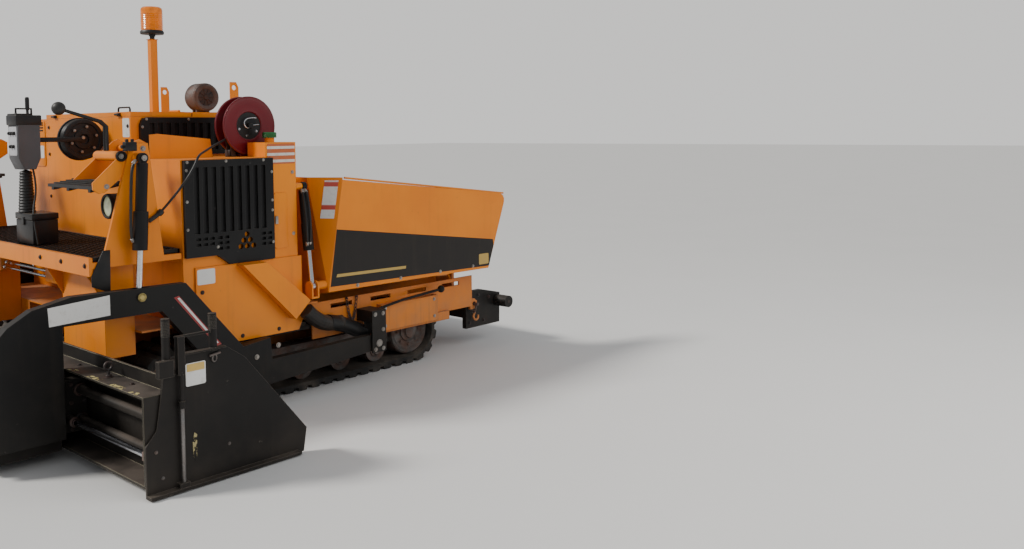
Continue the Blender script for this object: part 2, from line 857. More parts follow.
    @staticmethod
    def ring(major: float, minor: float, steps: tuple[int, int], place: Point = (0, 0, 0),
             turn: Point = (0, 0, 0)) -> Thing:
        """A round ring of round wire.

        Args:
            major: The ring's radius.
            minor: The wire's radius.
            steps: Steps round the ring and round the wire.
            place: The ring's centre.
            turn: Its turn about each axis.

        Returns:
            The ring.
        """
        Bench.clear()
        bpy.ops.mesh.primitive_torus_add(location=place, rotation=turn, major_radius=major,
                                         minor_radius=minor, major_segments=steps[0],
                                         minor_segments=steps[1])
        return bpy.context.object

    @staticmethod
    def join(*things: Thing) -> Thing:
        """Joins meshes into the first.

        Args:
            things: The meshes, of which the first stays.

        Returns:
            The joined mesh.
        """
        if len(things) > 1:
            Bench.take(*things)
            bpy.ops.object.join()
        return things[0]

    @staticmethod
    def copies(pattern: Thing, places: Sequence[Matrix]) -> Thing:
        """One mesh with a copy of the pattern at each place.

        Args:
            pattern: The modelled piece, which is used up.
            places: Where each copy goes, from the pattern's own zero.

        Returns:
            The joined copies.
        """
        made = []
        for place in places:
            copy = Bench.add("copy", pattern.data.copy())
            copy.matrix_world = place @ pattern.matrix_world
            made.append(copy)
        bpy.data.objects.remove(pattern)
        return Bench.join(*made)

    @staticmethod
    def looking(place: Point, direction: Point, turn: float = 0.0) -> Matrix:
        """A place whose Z looks along the direction."""
        quat = Vector(direction).to_track_quat("Z", "Y")
        return Matrix.Translation(place) @ quat.to_matrix().to_4x4() @ Matrix.Rotation(turn, 4, "Z")

    @staticmethod
    def bolts(spots: Sequence[Point], direction: Point, radius: float = 0.012, washer: float = 1.45) -> Thing:
        """Hexagon heads on washers, all looking one way.

        Args:
            spots: Where each bolt sits on its plate.
            direction: The way the heads look.
            radius: Radius over a head's corners.
            washer: The washer's radius as a share of the head's.

        Returns:
            The bolts as one mesh.
        """
        head = Bench.rod((0, 0, 0.0), (0, 0, radius * 0.85), radius, 6, radius * 0.12)
        seat = Bench.rod((0, 0, -0.001), (0, 0, radius * 0.22), radius * washer, 14, 0)
        pattern = Bench.join(head, seat)
        places = [Bench.looking(spot, direction, 0.7 * i) for i, spot in enumerate(spots)]
        return Bench.copies(pattern, places)

    @staticmethod
    def side_bolts(side: Side, face: float, spots: Sequence[Flat], radius: float) -> Thing:
        """Bolts on an upright face of one side, at spots in x and z."""
        return Bench.bolts([side.at(x, face, z) for x, z in spots], side.out, radius)


class Fitter:
    """Finishes pieces: joins them, dresses them and puts them on their bodies."""

    def __init__(self, palette: Palette) -> None:
        """Keeps the palette.

        Args:
            palette: Where the finishes come from.
        """
        self.palette = palette
        self.count = 0

    def fit(self, name: str, finish: Finish, slot: Slot, *things: Thing, body: str = "chassis",
            replaces: Sequence[str] = ()) -> Thing:
        """Joins meshes into one piece and finishes it.

        Args:
            name: The piece's name.
            finish: Its finish.
            slot: The record's material slot.
            things: The modelled meshes.
            body: The CAD body that it rides on.
            replaces: CAD nodes that it stands for.

        Returns:
            The finished piece.
        """
        thing = Bench.join(*things)
        Bench.take(thing)
        bpy.ops.object.transform_apply(location=True, rotation=True, scale=True)
        bpy.ops.object.shade_smooth_by_angle(angle=Bench.SMOOTH)
        thing.name = thing.data.name = name
        thing.data.materials.clear()
        self.palette.dress(thing, finish)
        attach(thing, body)
        if replaces:
            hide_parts(*replaces)
        self.count += 1
        LOG.info("%s on %s: %d faces", name, body, len(thing.data.polygons))
        return thing


@dataclass
class Studio:
    """Camera at the picture's place, pale floor and soft light."""

    camera_at: Point = (-3.510, -6.150, 1.70)
    yaw: float = math.radians(41.8)
    pitch: float = math.radians(3.24)
    roll: float = math.radians(-0.52)
    lens: float = 32.98
    sensor: float = 36.0
    shift_y: float = -0.0903
    sight: float = 500.0
    floor_size: float = 160.0
    floor_z: float = -0.001
    pale: Colour = (0.86, 0.85, 0.83)
    world_light: float = 0.4
    key_light: float = 3.3
    key_from: Point = (-0.70, 0.50, 0.68)
    key_spread: float = math.radians(12)
    key_colour: Colour = (1.0, 0.97, 0.92)
    sky: Colour = (0.93, 0.96, 1.0)
    fill_at: Point = (1.5, -7.0, 4.5)
    fill_aim: Point = (0.0, 0.0, 0.8)
    fill_power: float = 210.0
    fill_size: float = 6.0

    def camera(self) -> None:
        """Adds the camera."""
        data = bpy.data.cameras.new("photo_camera")
        data.lens, data.sensor_width, data.shift_y = self.lens, self.sensor, self.shift_y
        data.clip_end = self.sight
        camera = Bench.add("photo_camera", data)
        ahead = Vector((math.cos(self.yaw) * math.cos(self.pitch),
                        math.sin(self.yaw) * math.cos(self.pitch), -math.sin(self.pitch)))
        level = Vector((math.sin(self.yaw), -math.cos(self.yaw), 0.0))
        above = level.cross(ahead)
        right = level * math.cos(self.roll) + above * math.sin(self.roll)
        place = Matrix((right, right.cross(ahead), -ahead)).transposed().to_4x4()
        place.translation = Vector(self.camera_at)
        camera.matrix_world = place
        bpy.context.scene.camera = camera

    def light(self) -> None:
        """Adds the key light and the fill light."""
        key = bpy.data.lights.new("key_light", "SUN")
        key.energy, key.angle, key.color = self.key_light, self.key_spread, self.key_colour
        lamp = Bench.add("key_light", key)
        lamp.rotation_mode = "QUATERNION"
        lamp.rotation_quaternion = Vector(self.key_from).to_track_quat("Z", "Y")
        fill = bpy.data.lights.new("fill_light", "AREA")
        fill.energy, fill.size = self.fill_power, self.fill_size
        soft = Bench.add("fill_light", fill)
        soft.location = self.fill_at
        soft.rotation_mode = "QUATERNION"
        soft.rotation_quaternion = (Vector(self.fill_at) - Vector(self.fill_aim)).to_track_quat("Z", "Y")
        soft.visible_glossy = False

    def world(self) -> None:
        """Adds the world: pale where the camera sees it, and a dim sky for the light."""
        world = bpy.data.worlds.new("pale_world")
        bpy.context.scene.world = world
        world.use_nodes = True
        tree = world.node_tree
        tree.nodes.clear()
        rays = tree.nodes.new("ShaderNodeLightPath")
        seen = tree.nodes.new("ShaderNodeMath")
        seen.operation = "MAXIMUM"
        tree.links.new(rays.outputs["Is Camera Ray"], seen.inputs[0])
        tree.links.new(rays.outputs["Is Transmission Ray"], seen.inputs[1])
        dim, pale = (tree.nodes.new("ShaderNodeBackground") for _ in range(2))
        dim.inputs["Color"].default_value = (*self.sky, 1.0)
        dim.inputs["Strength"].default_value = self.world_light
        pale.inputs["Color"].default_value = (*self.pale, 1.0)
        pale.inputs["Strength"].default_value = 1.0
        mix = tree.nodes.new("ShaderNodeMixShader")
        out = tree.nodes.new("ShaderNodeOutputWorld")
        tree.links.new(seen.outputs[0], mix.inputs[0])
        tree.links.new(dim.outputs[0], mix.inputs[1])
        tree.links.new(pale.outputs[0], mix.inputs[2])
        tree.links.new(mix.outputs[0], out.inputs["Surface"])

    def floor(self) -> None:
        """Adds the plain pale floor."""
        Bench.clear()
        bpy.ops.mesh.primitive_plane_add(size=self.floor_size, location=(0, 0, self.floor_z))
        floor = bpy.context.object
        floor.name = "floor"
        g = Graph("pale_floor")
        cloud = g.noise(0.8, 4)
        floor.data.materials.append(g.shade(
            Base_Color=g.blend(cloud, (0.66, 0.655, 0.64), (0.7, 0.69, 0.675)), Roughness=0.9))

    def build(self) -> None:
        """Adds all of it."""
        self.camera()
        self.light()
        self.world()
        self.floor()


@dataclass
class WashHose:
    """Rubber hose from the reel to its wand, which is clipped to the tower."""

    fitter: Fitter
    diameter: float = 0.014
    route: tuple[Point, ...] = (
        (-0.285, -0.870, 1.665), (-0.345, -0.920, 1.648), (-0.420, -0.980, 1.630), (-0.510, -1.051, 1.608),
        (-0.595, -1.118, 1.584), (-0.648, -1.160, 1.568), (-0.684, -1.193, 1.548), (-0.712, -1.204, 1.505),
        (-0.752, -1.204, 1.443), (-0.811, -1.198, 1.368), (-0.866, -1.184, 1.300), (-0.905, -1.168, 1.252))
    steps: int = 4
    wand: tuple[Point, ...] = ((-0.9053, -1.1678, 1.2515), (-0.915, -1.1645, 1.240), (-0.975, -1.1645, 1.205))
    grip_radius: float = 0.0125

    def points(self) -> list[Vector]:
        """The hose's centreline, on smooth spans between the route's points.

        Returns:
            Points along the centreline.
        """
        ends = [Vector(p) for p in (self.route[0], *self.route, self.route[-1])]
        line = []
        for a, b, c, d in zip(ends, ends[1:], ends[2:], ends[3:]):
            for k in range(self.steps):
                t = k / self.steps
                line.append(0.5 * (2 * b + (c - a) * t + (2 * a - 5 * b + 4 * c - d) * t * t
                                   + (3 * b - a - 3 * c + d) * t * t * t))
        return [*line, ends[-1]]

    def build(self) -> None:
        """Makes the hose and its wand."""
        line = self.points()
        grip = Bench.tube(self.wand, self.grip_radius, 4)
        guard = Bench.lathe([(0.0, -0.012), (0.016, -0.012), (0.019, 0.0), (0.016, 0.02), (0.0, 0.02)],
                            self.wand[0], tuple(Vector(self.wand[1]) - Vector(self.wand[0])), 16)
        wand = self.fitter.fit("wash_wand_grip", SOFT_BLACK, Slot.RUBBER, grip, guard,
                               replaces=["wash_wand"])
        hose = Bench.curve("wash_hose_tube", [line], dimensions="3D", bevel_depth=self.diameter / 2,
                           bevel_resolution=3, use_fill_caps=True)
        self.fitter.palette.dress(hose, HOSE_RUBBER)
        length = sum((b - a).length for a, b in zip(line, line[1:]))
        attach(hose, "chassis")
        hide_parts("wash_hose")
        LOG.info("wash hose: %.2f m", length)


@dataclass
class Undercarriage:
    """Rubber tracks with their pads, and the wheels' rims and hubs."""

    fitter: Fitter
    rear_x: float = -0.790
    front_x: float = 1.080
    axle_z: float = 0.225
    belt_outer: float = 0.201
    belt_inner: float = 0.1735
    inner_y: float = 0.745
    outer_y: float = 1.075
    pads_straight: int = 18
    pads_turn: int = 6
    pad_len: float = 0.0644
    reach: float = 0.2226
    lift: float = 0.0023
    groove: float = 0.016
    hub_y: float = 1.0
    bolt_ring: float = 0.104
    roller_z: float = 0.1373

    def outline(self, radius: float, steps: int = 20) -> list[Flat]:
        """The belt's outline round both wheels at one radius.

        Args:
            radius: Distance from the wheels' axes.
            steps: Steps of each half turn.

        Returns:
            The outline in x and z.
        """
        turns = [(self.front_x, -90 + 180 * i / steps) for i in range(steps + 1)]
        turns += [(self.rear_x, 90 + 180 * i / steps) for i in range(steps + 1)]
        return [(x + radius * math.cos(math.radians(a)), self.axle_z + radius * math.sin(math.radians(a)))
                for x, a in turns]

    def stations(self, y: float) -> list[Matrix]:
        """Where each pad sits, with Z away from the belt.

        Args:
            y: The track's middle.

        Returns:
            The pads' places.
        """
        spots = []
        pitch = (self.front_x - self.rear_x) / self.pads_straight
        for i in range(self.pads_straight):
            x = self.rear_x + (i + 0.5) * pitch
            spots += [(x, 0.0, self.lift), (x, 180.0, self.lift)]
        for i in range(self.pads_turn):
            angle = 180 * (i + 0.5) / self.pads_turn
            spots += [(self.front_x, angle, 0.0), (self.rear_x, angle + 180, 0.0)]
        return [Matrix.Translation((x, y, self.axle_z)) @ Matrix.Rotation(math.radians(a), 4, "Y")
                @ Matrix.Translation((0, 0, up)) for x, a, up in spots]

    def track(self, side: Side) -> None:
        """One rubber track.

        Args:
            side: The side that it is on.
        """
        y = side.value * (self.inner_y + self.outer_y) / 2
        width = self.outer_y - self.inner_y
        loops = [self.outline(self.belt_outer), self.outline(self.belt_inner)]
        belt = Bench.side_plate(loops, y, width, 0.004)
        half, foot = self.pad_len / 2, self.belt_outer - 0.004
        shape = [(-half - 0.005, foot), (half + 0.005, foot), (half, self.reach - 0.006),
                 (half - 0.006, self.reach), (-half + 0.006, self.reach), (-half, self.reach - 0.006)]
        block = (width - self.groove) / 2
        halves = [Bench.side_plate([shape], s * (width - block) / 2, block, 0.003) for s in (-1, 1)]
        pads = Bench.copies(Bench.join(*halves), self.stations(y))
        self.fitter.fit(f"track_belt_{side.tag}", TRACK_RUBBER, Slot.TRACK, belt, pads,
                        replaces=[f"track_{side.tag}"])

    def wheels(self, side: Side) -> None:
        """Rims, hubs and bolts on one side's wheels and rollers.

        Args:
            side: The side that it is on.
        """
        out = side.out
        made = []
        for x in (self.rear_x, self.front_x):
            hub = side.at(x, self.hub_y, self.axle_z)
            made += [Bench.lathe([(0.132, -0.002), (0.168, -0.002), (0.17, 0.012), (0.158, 0.02),
                                  (0.144, 0.012), (0.132, -0.002)], hub, out, 40),
                     Bench.lathe([(0, -0.002), (0.078, -0.002), (0.078, 0.012), (0.055, 0.02), (0.05, 0.036),
                                  (0.03, 0.042), (0, 0.042)], hub, out, 32)]
            ring = [side.at(x + self.bolt_ring * math.cos(i * math.pi / 4), self.hub_y,
                            self.axle_z + self.bolt_ring * math.sin(i * math.pi / 4)) for i in range(8)]
            made.append(Bench.bolts(ring, out, 0.011))
        for i in range(1, 6):
            x = self.rear_x + i * (self.front_x - self.rear_x) / 6
            made.append(Bench.lathe([(0, -0.002), (0.05, -0.002), (0.05, 0.008), (0.036, 0.014),
                                     (0.03, 0.024), (0, 0.024)], side.at(x, self.hub_y, self.roller_z),
                                    out, 24))
        self.fitter.fit(f"wheel_hubs_{side.tag}", WORN_STEEL, Slot.STEEL, *made)

    def build(self) -> None:
        """Makes both sides."""
        for side in Side:
            self.track(side)
            self.wheels(side)


@dataclass
class Sticker:
    """Thin blank plates on upright faces that look sideways."""

    fitter: Fitter
    thickness: float = 0.0012

    def stick(self, name: str, body: str, side: Side, outline: Sequence[Flat], y: float, finish: Finish,
              slot: Slot) -> None:
        """Puts one plate on a side's face.

        Args:
            name: The plate's name, which gets the side's word.
            body: The CAD body it rides on.
            side: The side it is on.
            outline: Its corners as x and z.
            y: The face's distance from the centreline.
            finish: Its finish.
            slot: The record's material slot.
        """
        plate = Bench.side_plate([outline], side.value * (y + self.thickness / 2), self.thickness)
        self.fitter.fit(f"{name}_{side.tag}", finish, slot, plate, body=body)

    @staticmethod
    def oblong(x0: float, z0: float, x1: float, z1: float, corner: float = 0.006) -> list[Flat]:
        """A rectangle with cut corners."""
        return [(x0 + corner, z0), (x1 - corner, z0), (x1, z0 + corner), (x1, z1 - corner),
                (x1 - corner, z1), (x0 + corner, z1), (x0, z1 - corner), (x0, z0 + corner)]


@dataclass
class Hopper:
    """Band, blank plates, lips and bolts of the wings, and their cylinders' hoses."""

    fitter: Fitter
    wing_y: float = 1.2501
    foot: Point = (0.182, 1.25, 0.655)
    head: Point = (0.312, 1.25, 1.394)
    rear: Point = (0.182, 1.037, 1.394)
    cylinder_x: float = 0.085

    def band(self, side: Side) -> None:
        """The dark band, its thin stripe and the small plate at its end.

        Args:
            side: The side that it is on.
        """
        stick = Sticker(self.fitter)
        wing = f"wing_{side.tag}"
        stick.stick("wing_band", wing, side, [(0.256, 1.058), (0.198, 0.688), (1.696, 0.657), (1.75, 0.81),
                                              (1.742, 0.856)], self.wing_y, BAND_BLACK, Slot.BLACK)
        face = self.wing_y + stick.thickness
        stick.stick("wing_stripe", wing, side, [(0.245, 0.745), (0.252, 0.765), (0.85, 0.752),
                                                (0.845, 0.733)], face, GOLD_PLATE, Slot.BLACK)
        stick.stick("wing_tag", wing, side, Sticker.oblong(1.585, 0.675, 1.69, 0.755), face, GOLD_PLATE,
                    Slot.BLACK)

    def corner_plate(self, side: Side) -> None:
        """The tall blank plate on the wing's bevelled rear corner.

        Args:
            side: The side that it is on.
        """
        foot, head, rear = (Vector(side.at(*p)) for p in (self.foot, self.head, self.rear))
        along, edge = (rear - head).normalized(), (head - foot).normalized()
        up = (edge - along * edge.dot(along)).normalized()
        skew, rise = edge.dot(along), edge.dot(up)
        outward = up.cross(along) * side.value
        if outward.x > 0:
            outward = -outward
        corners = [(0.025, -0.27), (0.12, -0.27), (0.12, -0.02), (0.025, -0.02)]
        outline = [(b + a * skew, a * rise) for b, a in corners]
        plate = Bench.plate([outline], tuple(head + outward * 0.001), tuple(along), tuple(up),
                            Sticker.thickness)
        self.fitter.fit(f"wing_corner_plate_{side.tag}", CORNER_PLATE, Slot.ORANGE, plate,
                        body=f"wing_{side.tag}")

    def trim(self, side: Side) -> None:
        """Folded lip on the wing's top edge and hinge bolts on its lower one.

        Args:
            side: The side that it is on.
        """
        start, end = Vector(side.at(0.330, 1.243, 1.3905)), Vector(side.at(1.872, 1.243, 1.2035))
        lip = Bench.rod(start, end, 0.0065, 10, 0)
        bolts = Bench.bolts([side.at(x, 1.2502, 0.672) for x in (0.42, 0.80, 1.18, 1.52)], side.out, 0.009)
        self.fitter.fit(f"wing_lip_{side.tag}", ORANGE, Slot.ORANGE, lip, body=f"wing_{side.tag}")
        self.fitter.fit(f"wing_bolts_{side.tag}", ZINC, Slot.STEEL, bolts, body=f"wing_{side.tag}")

    def hoses(self, side: Side) -> None:
        """Two hoses down the wing cylinder with their end fittings.

        Args:
            side: The side that it is on.
        """
        x = self.cylinder_x
        made, ends = [], []
        for shift, bulge in ((0.0, 0.0), (0.021, 0.012)):
            route = [(x - 0.030 + shift, 1.160, 1.325), (x - 0.040 + shift, 1.190 + bulge, 1.300),
                     (x - 0.042 + shift, 1.212 + bulge, 1.200), (x - 0.040 + shift, 1.222 + bulge, 1.090),
                     (x - 0.034 + shift, 1.214, 1.010), (x - 0.024 + shift, 1.196, 0.968)]
            made.append(Bench.tube([side.at(*p) for p in route], 0.0085))
            for a, b in ((route[0], route[1]), (route[-1], route[-2])):
                start, toward = Vector(side.at(*a)), Vector(side.at(*b))
                ends.append(Bench.rod(start, start + (toward - start).normalized() * 0.028, 0.0115, 6, 0.001))
        self.fitter.fit(f"wing_hoses_{side.tag}", HOSE_RUBBER, Slot.RUBBER, *made,
                        body=f"wing_barrel_{side.tag}")
        self.fitter.fit(f"wing_hose_ends_{side.tag}", ZINC, Slot.STEEL, *ends,
                        body=f"wing_barrel_{side.tag}")

    def build(self) -> None:
        """Makes both wings' pieces."""
        for side in Side:
            self.band(side)
            self.corner_plate(side)
            self.trim(side)
            self.hoses(side)


@dataclass
class EngineHouse:
    """Bolts, plates and latches of the hood, pods and skirts, the silencer's ends, and the beacon."""

    fitter: Fitter
    hood_face: float = -0.4762
    pod_face: float = 1.1762
    skirt_face: float = 1.1622
    left_shift: float = 0.070
    muffler: Point = (0.030, -0.075, 1.944)
    beacon_at: Point = (-0.223, 0.185, 2.3893)
    hood_bolts: tuple[Flat, ...] = ((-0.62, 1.783), (-0.332, 1.783), (-0.04, 1.783), (-0.648, 1.734),
                                    (-0.648, 1.60), (0.106, 1.74), (0.106, 1.60), (-0.33, 1.564),
                                    (0.0, 1.564))
    pod_bolts: tuple[Flat, ...] = ((-0.742, 1.525), (-0.492, 1.525), (-0.235, 1.525), (-0.748, 1.478),
                                   (-0.748, 1.297), (-0.748, 1.135), (-0.558, 1.020), (-0.177, 1.274),
                                   (-0.177, 1.212), (-0.177, 1.015), (-0.177, 1.45))
    skirt_bolts: tuple[Flat, ...] = ((-0.66, 0.46), (-0.40, 0.46), (-0.14, 0.46), (-0.66, 0.76))

    def bolts(self) -> None:
        """Bright bolts on the borders of the grilles."""
        hood = Bench.bolts([(x, self.hood_face, z) for x, z in self.hood_bolts], RIGHTWARDS, 0.0062)
        self.fitter.fit("hood_grille_bolts", ZINC, Slot.STEEL, hood)
        for side in Side:
            shift = self.left_shift if side is Side.LEFT else 0.0
            spots = [side.at(x + shift, self.pod_face, z) for x, z in self.pod_bolts]
            self.fitter.fit(f"pod_grille_bolts_{side.tag}", ZINC, Slot.STEEL,
                            Bench.bolts(spots, side.out, 0.0062))
        rear = [(-0.7105, y, z) for y in (-0.41, 0.78) for z in (0.95, 1.25, 1.55, 1.74)]
        self.fitter.fit("hood_rear_bolts", DARK_BOLTS, Slot.BLACK, Bench.bolts(rear, BACK, 0.009))

    def rear_panel(self) -> None:
        """Slotted panel of the left pod's rear wall, and blank plates there and on the hood's."""
        panel = Bench.rear_plate([Sticker.oblong(0.845, 1.46, 1.125, 1.785, 0.015)], -0.7125, 0.004, 0.0012)
        self.fitter.fit("pod_rear_panel", ORANGE, Slot.ORANGE, panel)
        slats = [Bench.box((-0.7185, 0.875, z), (-0.7140, 0.985, z + 0.009), 0.0015)
                 for z in (1.715, 1.735, 1.755, 1.770)]
        self.fitter.fit("pod_rear_slats", BLACK, Slot.BLACK, *slats)
        for name, x, corners in (("pod_plate", -0.7152, (0.865, 1.52, 0.945, 1.61)),
                                 ("hood_plate", -0.7108, (-0.43, 1.67, -0.34, 1.79))):
            plate = Bench.rear_plate([Sticker.oblong(*corners)], x, Sticker.thickness)
            self.fitter.fit(name, WHITE_PLATE, Slot.ORANGE, plate)

    def lid(self) -> None:
        """Handle and rubber latches of the lid."""
        handle = Bench.tube([(-0.62, -0.26, 1.828), (-0.62, -0.26, 1.852), (-0.62, -0.25, 1.862),
                             (-0.62, -0.11, 1.862), (-0.62, -0.10, 1.852), (-0.62, -0.10, 1.828)], 0.006,
                            soft=False)
        feet = [Bench.box((-0.635, y - 0.016, 1.829), (-0.605, y + 0.016, 1.834), 0.0015)
                for y in (-0.26, -0.10)]
        self.fitter.fit("lid_handle", BLACK, Slot.BLACK, handle, *feet, body="hood_lid")
        latches = []
        for y in (-0.30, 0.66):
            latches += [Bench.box((-0.722, y - 0.018, 1.803), (-0.7098, y + 0.018, 1.824), 0.003),
                        Bench.rod((-0.728, y - 0.026, 1.814), (-0.728, y + 0.026, 1.814), 0.007, 12)]
        self.fitter.fit("lid_latches", SOFT_BLACK, Slot.RUBBER, *latches, body="hood_lid")

    def silencer(self) -> None:
        """Rolled rims and finned core at the silencer's ends."""
        x, y, z = self.muffler
        for name, base, out in (("near", y, -1), ("far", y + 0.110, 1)):
            rim = Bench.lathe([(0.058, 0.0), (0.066, 0.010), (0.082, 0.016), (0.096, 0.010),
                               (0.1005, -0.004), (0.1005, -0.03), (0.098, -0.03)],
                              (x, base, z), (0, out, 0), 40)
            self.fitter.fit(f"silencer_rim_{name}", RUSTY, Slot.RUST, rim)
            core = Bench.lathe([(0, 0.010), (0.016, 0.010), (0.02, 0.003), (0.06, 0.002), (0.062, -0.004)],
                               (x, base, z), (0, out, 0), 32)
            fins = []
            for i in range(10):
                angle = i * math.pi / 5
                turn = Vector((math.cos(angle), 0, math.sin(angle)))
                middle = Vector((x, base + out * 0.004, z))
                fins.append(Bench.rod(middle + turn * 0.018, middle + turn * 0.06, 0.0028, 6, 0))
            self.fitter.fit(f"silencer_core_{name}", DARK_BOLTS, Slot.BLACK, core, *fins)

    def beacon(self) -> None:
        """Amber beacon on its base and stem, and the mast's cap and foot."""
        base = Bench.lathe([(0, 0), (0.076, 0), (0.0795, 0.004), (0.0795, 0.018), (0.074, 0.026),
                            (0, 0.026)], self.beacon_at, UP, 48)
        self.fitter.fit("beacon_base", SOFT_BLACK, Slot.RUBBER, base)
        ribs = [(r, 0.03 + 0.0065 * i) for i, r in enumerate([0.0715, 0.0745] * 9)]
        glass = Bench.lathe([(0, 0.024), (0.070, 0.024), *ribs, (0.072, 0.150), (0.073, 0.168),
                             (0.069, 0.182), (0.058, 0.190), (0, 0.1918)], self.beacon_at, UP, 56)
        self.fitter.fit("beacon_glass", AMBER, Slot.AMBER, glass, replaces=["beacon"])
        x, y, _ = self.beacon_at
        cap = Bench.box((x - 0.030, y - 0.030, 2.350), (x + 0.030, y + 0.030, 2.3545), 0.0015)
        collar = Bench.lathe([(0.0122, 0), (0.0165, 0), (0.0165, 0.020), (0.022, 0.0205), (0.022, 0.0345),
                              (0.0122, 0.0345), (0.0122, 0)], (x, y, 2.3547), UP, 24)
        foot = Bench.box((x - 0.05, y - 0.05, 1.8305), (x + 0.05, y + 0.05, 1.8385), 0.002)
        self.fitter.fit("mast_fittings", ORANGE, Slot.ORANGE, cap, foot)
        self.fitter.fit("beacon_stem", SOFT_BLACK, Slot.RUBBER, collar)

    def skirts(self) -> None:
        """Blank plate and bolts of the side skirts."""
        stick = Sticker(self.fitter)
        for side in Side:
            stick.stick("skirt_plate", "chassis", side, Sticker.oblong(-0.690, 0.805, -0.575, 0.895),
                        self.skirt_face, WHITE_PLATE, Slot.ORANGE)
            bolts = Bench.side_bolts(side, self.skirt_face, self.skirt_bolts, 0.009)
            self.fitter.fit(f"skirt_bolts_{side.tag}", DARK_BOLTS, Slot.BLACK, bolts)

    def build(self) -> None:
        """Makes all of it."""
        self.bolts()
        self.rear_panel()
        self.lid()
        self.silencer()
        self.beacon()
        self.skirts()


@dataclass
class Tank:
    """Filler cap, striped panel and door of the tank, and the lower run of the sleeve under it."""

    fitter: Fitter
    filler: Point = (-0.090, -1.030, 1.6595)
    face: float = 1.1503
    sleeve: tuple[Point, ...] = ((0.215, -1.186, 0.447), (0.260, -1.174, 0.436), (0.320, -1.156, 0.420),
                                 (0.400, -1.143, 0.392), (0.480, -1.143, 0.352), (0.545, -1.143, 0.320))
    sleeve_r: float = 0.0512

    def build(self) -> None:
        """Makes the pieces."""
        grips = [(0.0448 if i % 2 else 0.0432, 0.004 + 0.0035 * i) for i in range(6)]
        cap = Bench.lathe([(0, -0.001), (0.0435, -0.001), *grips, (0.0432, 0.0305), (0.038, 0.034),
                           (0.02, 0.032), (0, 0.032)], self.filler, UP, 36)
        self.fitter.fit("tank_cap", GREEN_CAP, Slot.PLASTIC, cap)
        Sticker(self.fitter).stick("tank_stripes", "chassis", Side.RIGHT,
                                   Sticker.oblong(-0.19, 1.495, 0.012, 1.622), self.face, STRIPED_PLATE,
                                   Slot.ORANGE)
        door = Bench.side_plate([Sticker.oblong(-0.152, 0.965, -0.052, 1.315, 0.012)],
                                -self.face - 0.0025, 0.005, 0.0015)
        self.fitter.fit("tank_door", ORANGE, Slot.ORANGE, door)
        latch = Bench.box((-0.148, -self.face - 0.016, 1.12), (-0.128, -self.face - 0.004, 1.17), 0.003)
        bolts = Bench.bolts([(x, -self.face, z) for x, z in ((-0.008, 1.44), (-0.008, 1.05), (-0.168, 1.40))],
                            RIGHTWARDS, 0.008)
        self.fitter.fit("tank_door_latch", ZINC, Slot.STEEL, latch, bolts)
        lower = Bench.tube(self.sleeve, self.sleeve_r, 6)
        self.fitter.fit("duct_lower_sleeve", HOSE_RUBBER, Slot.RUBBER, lower)


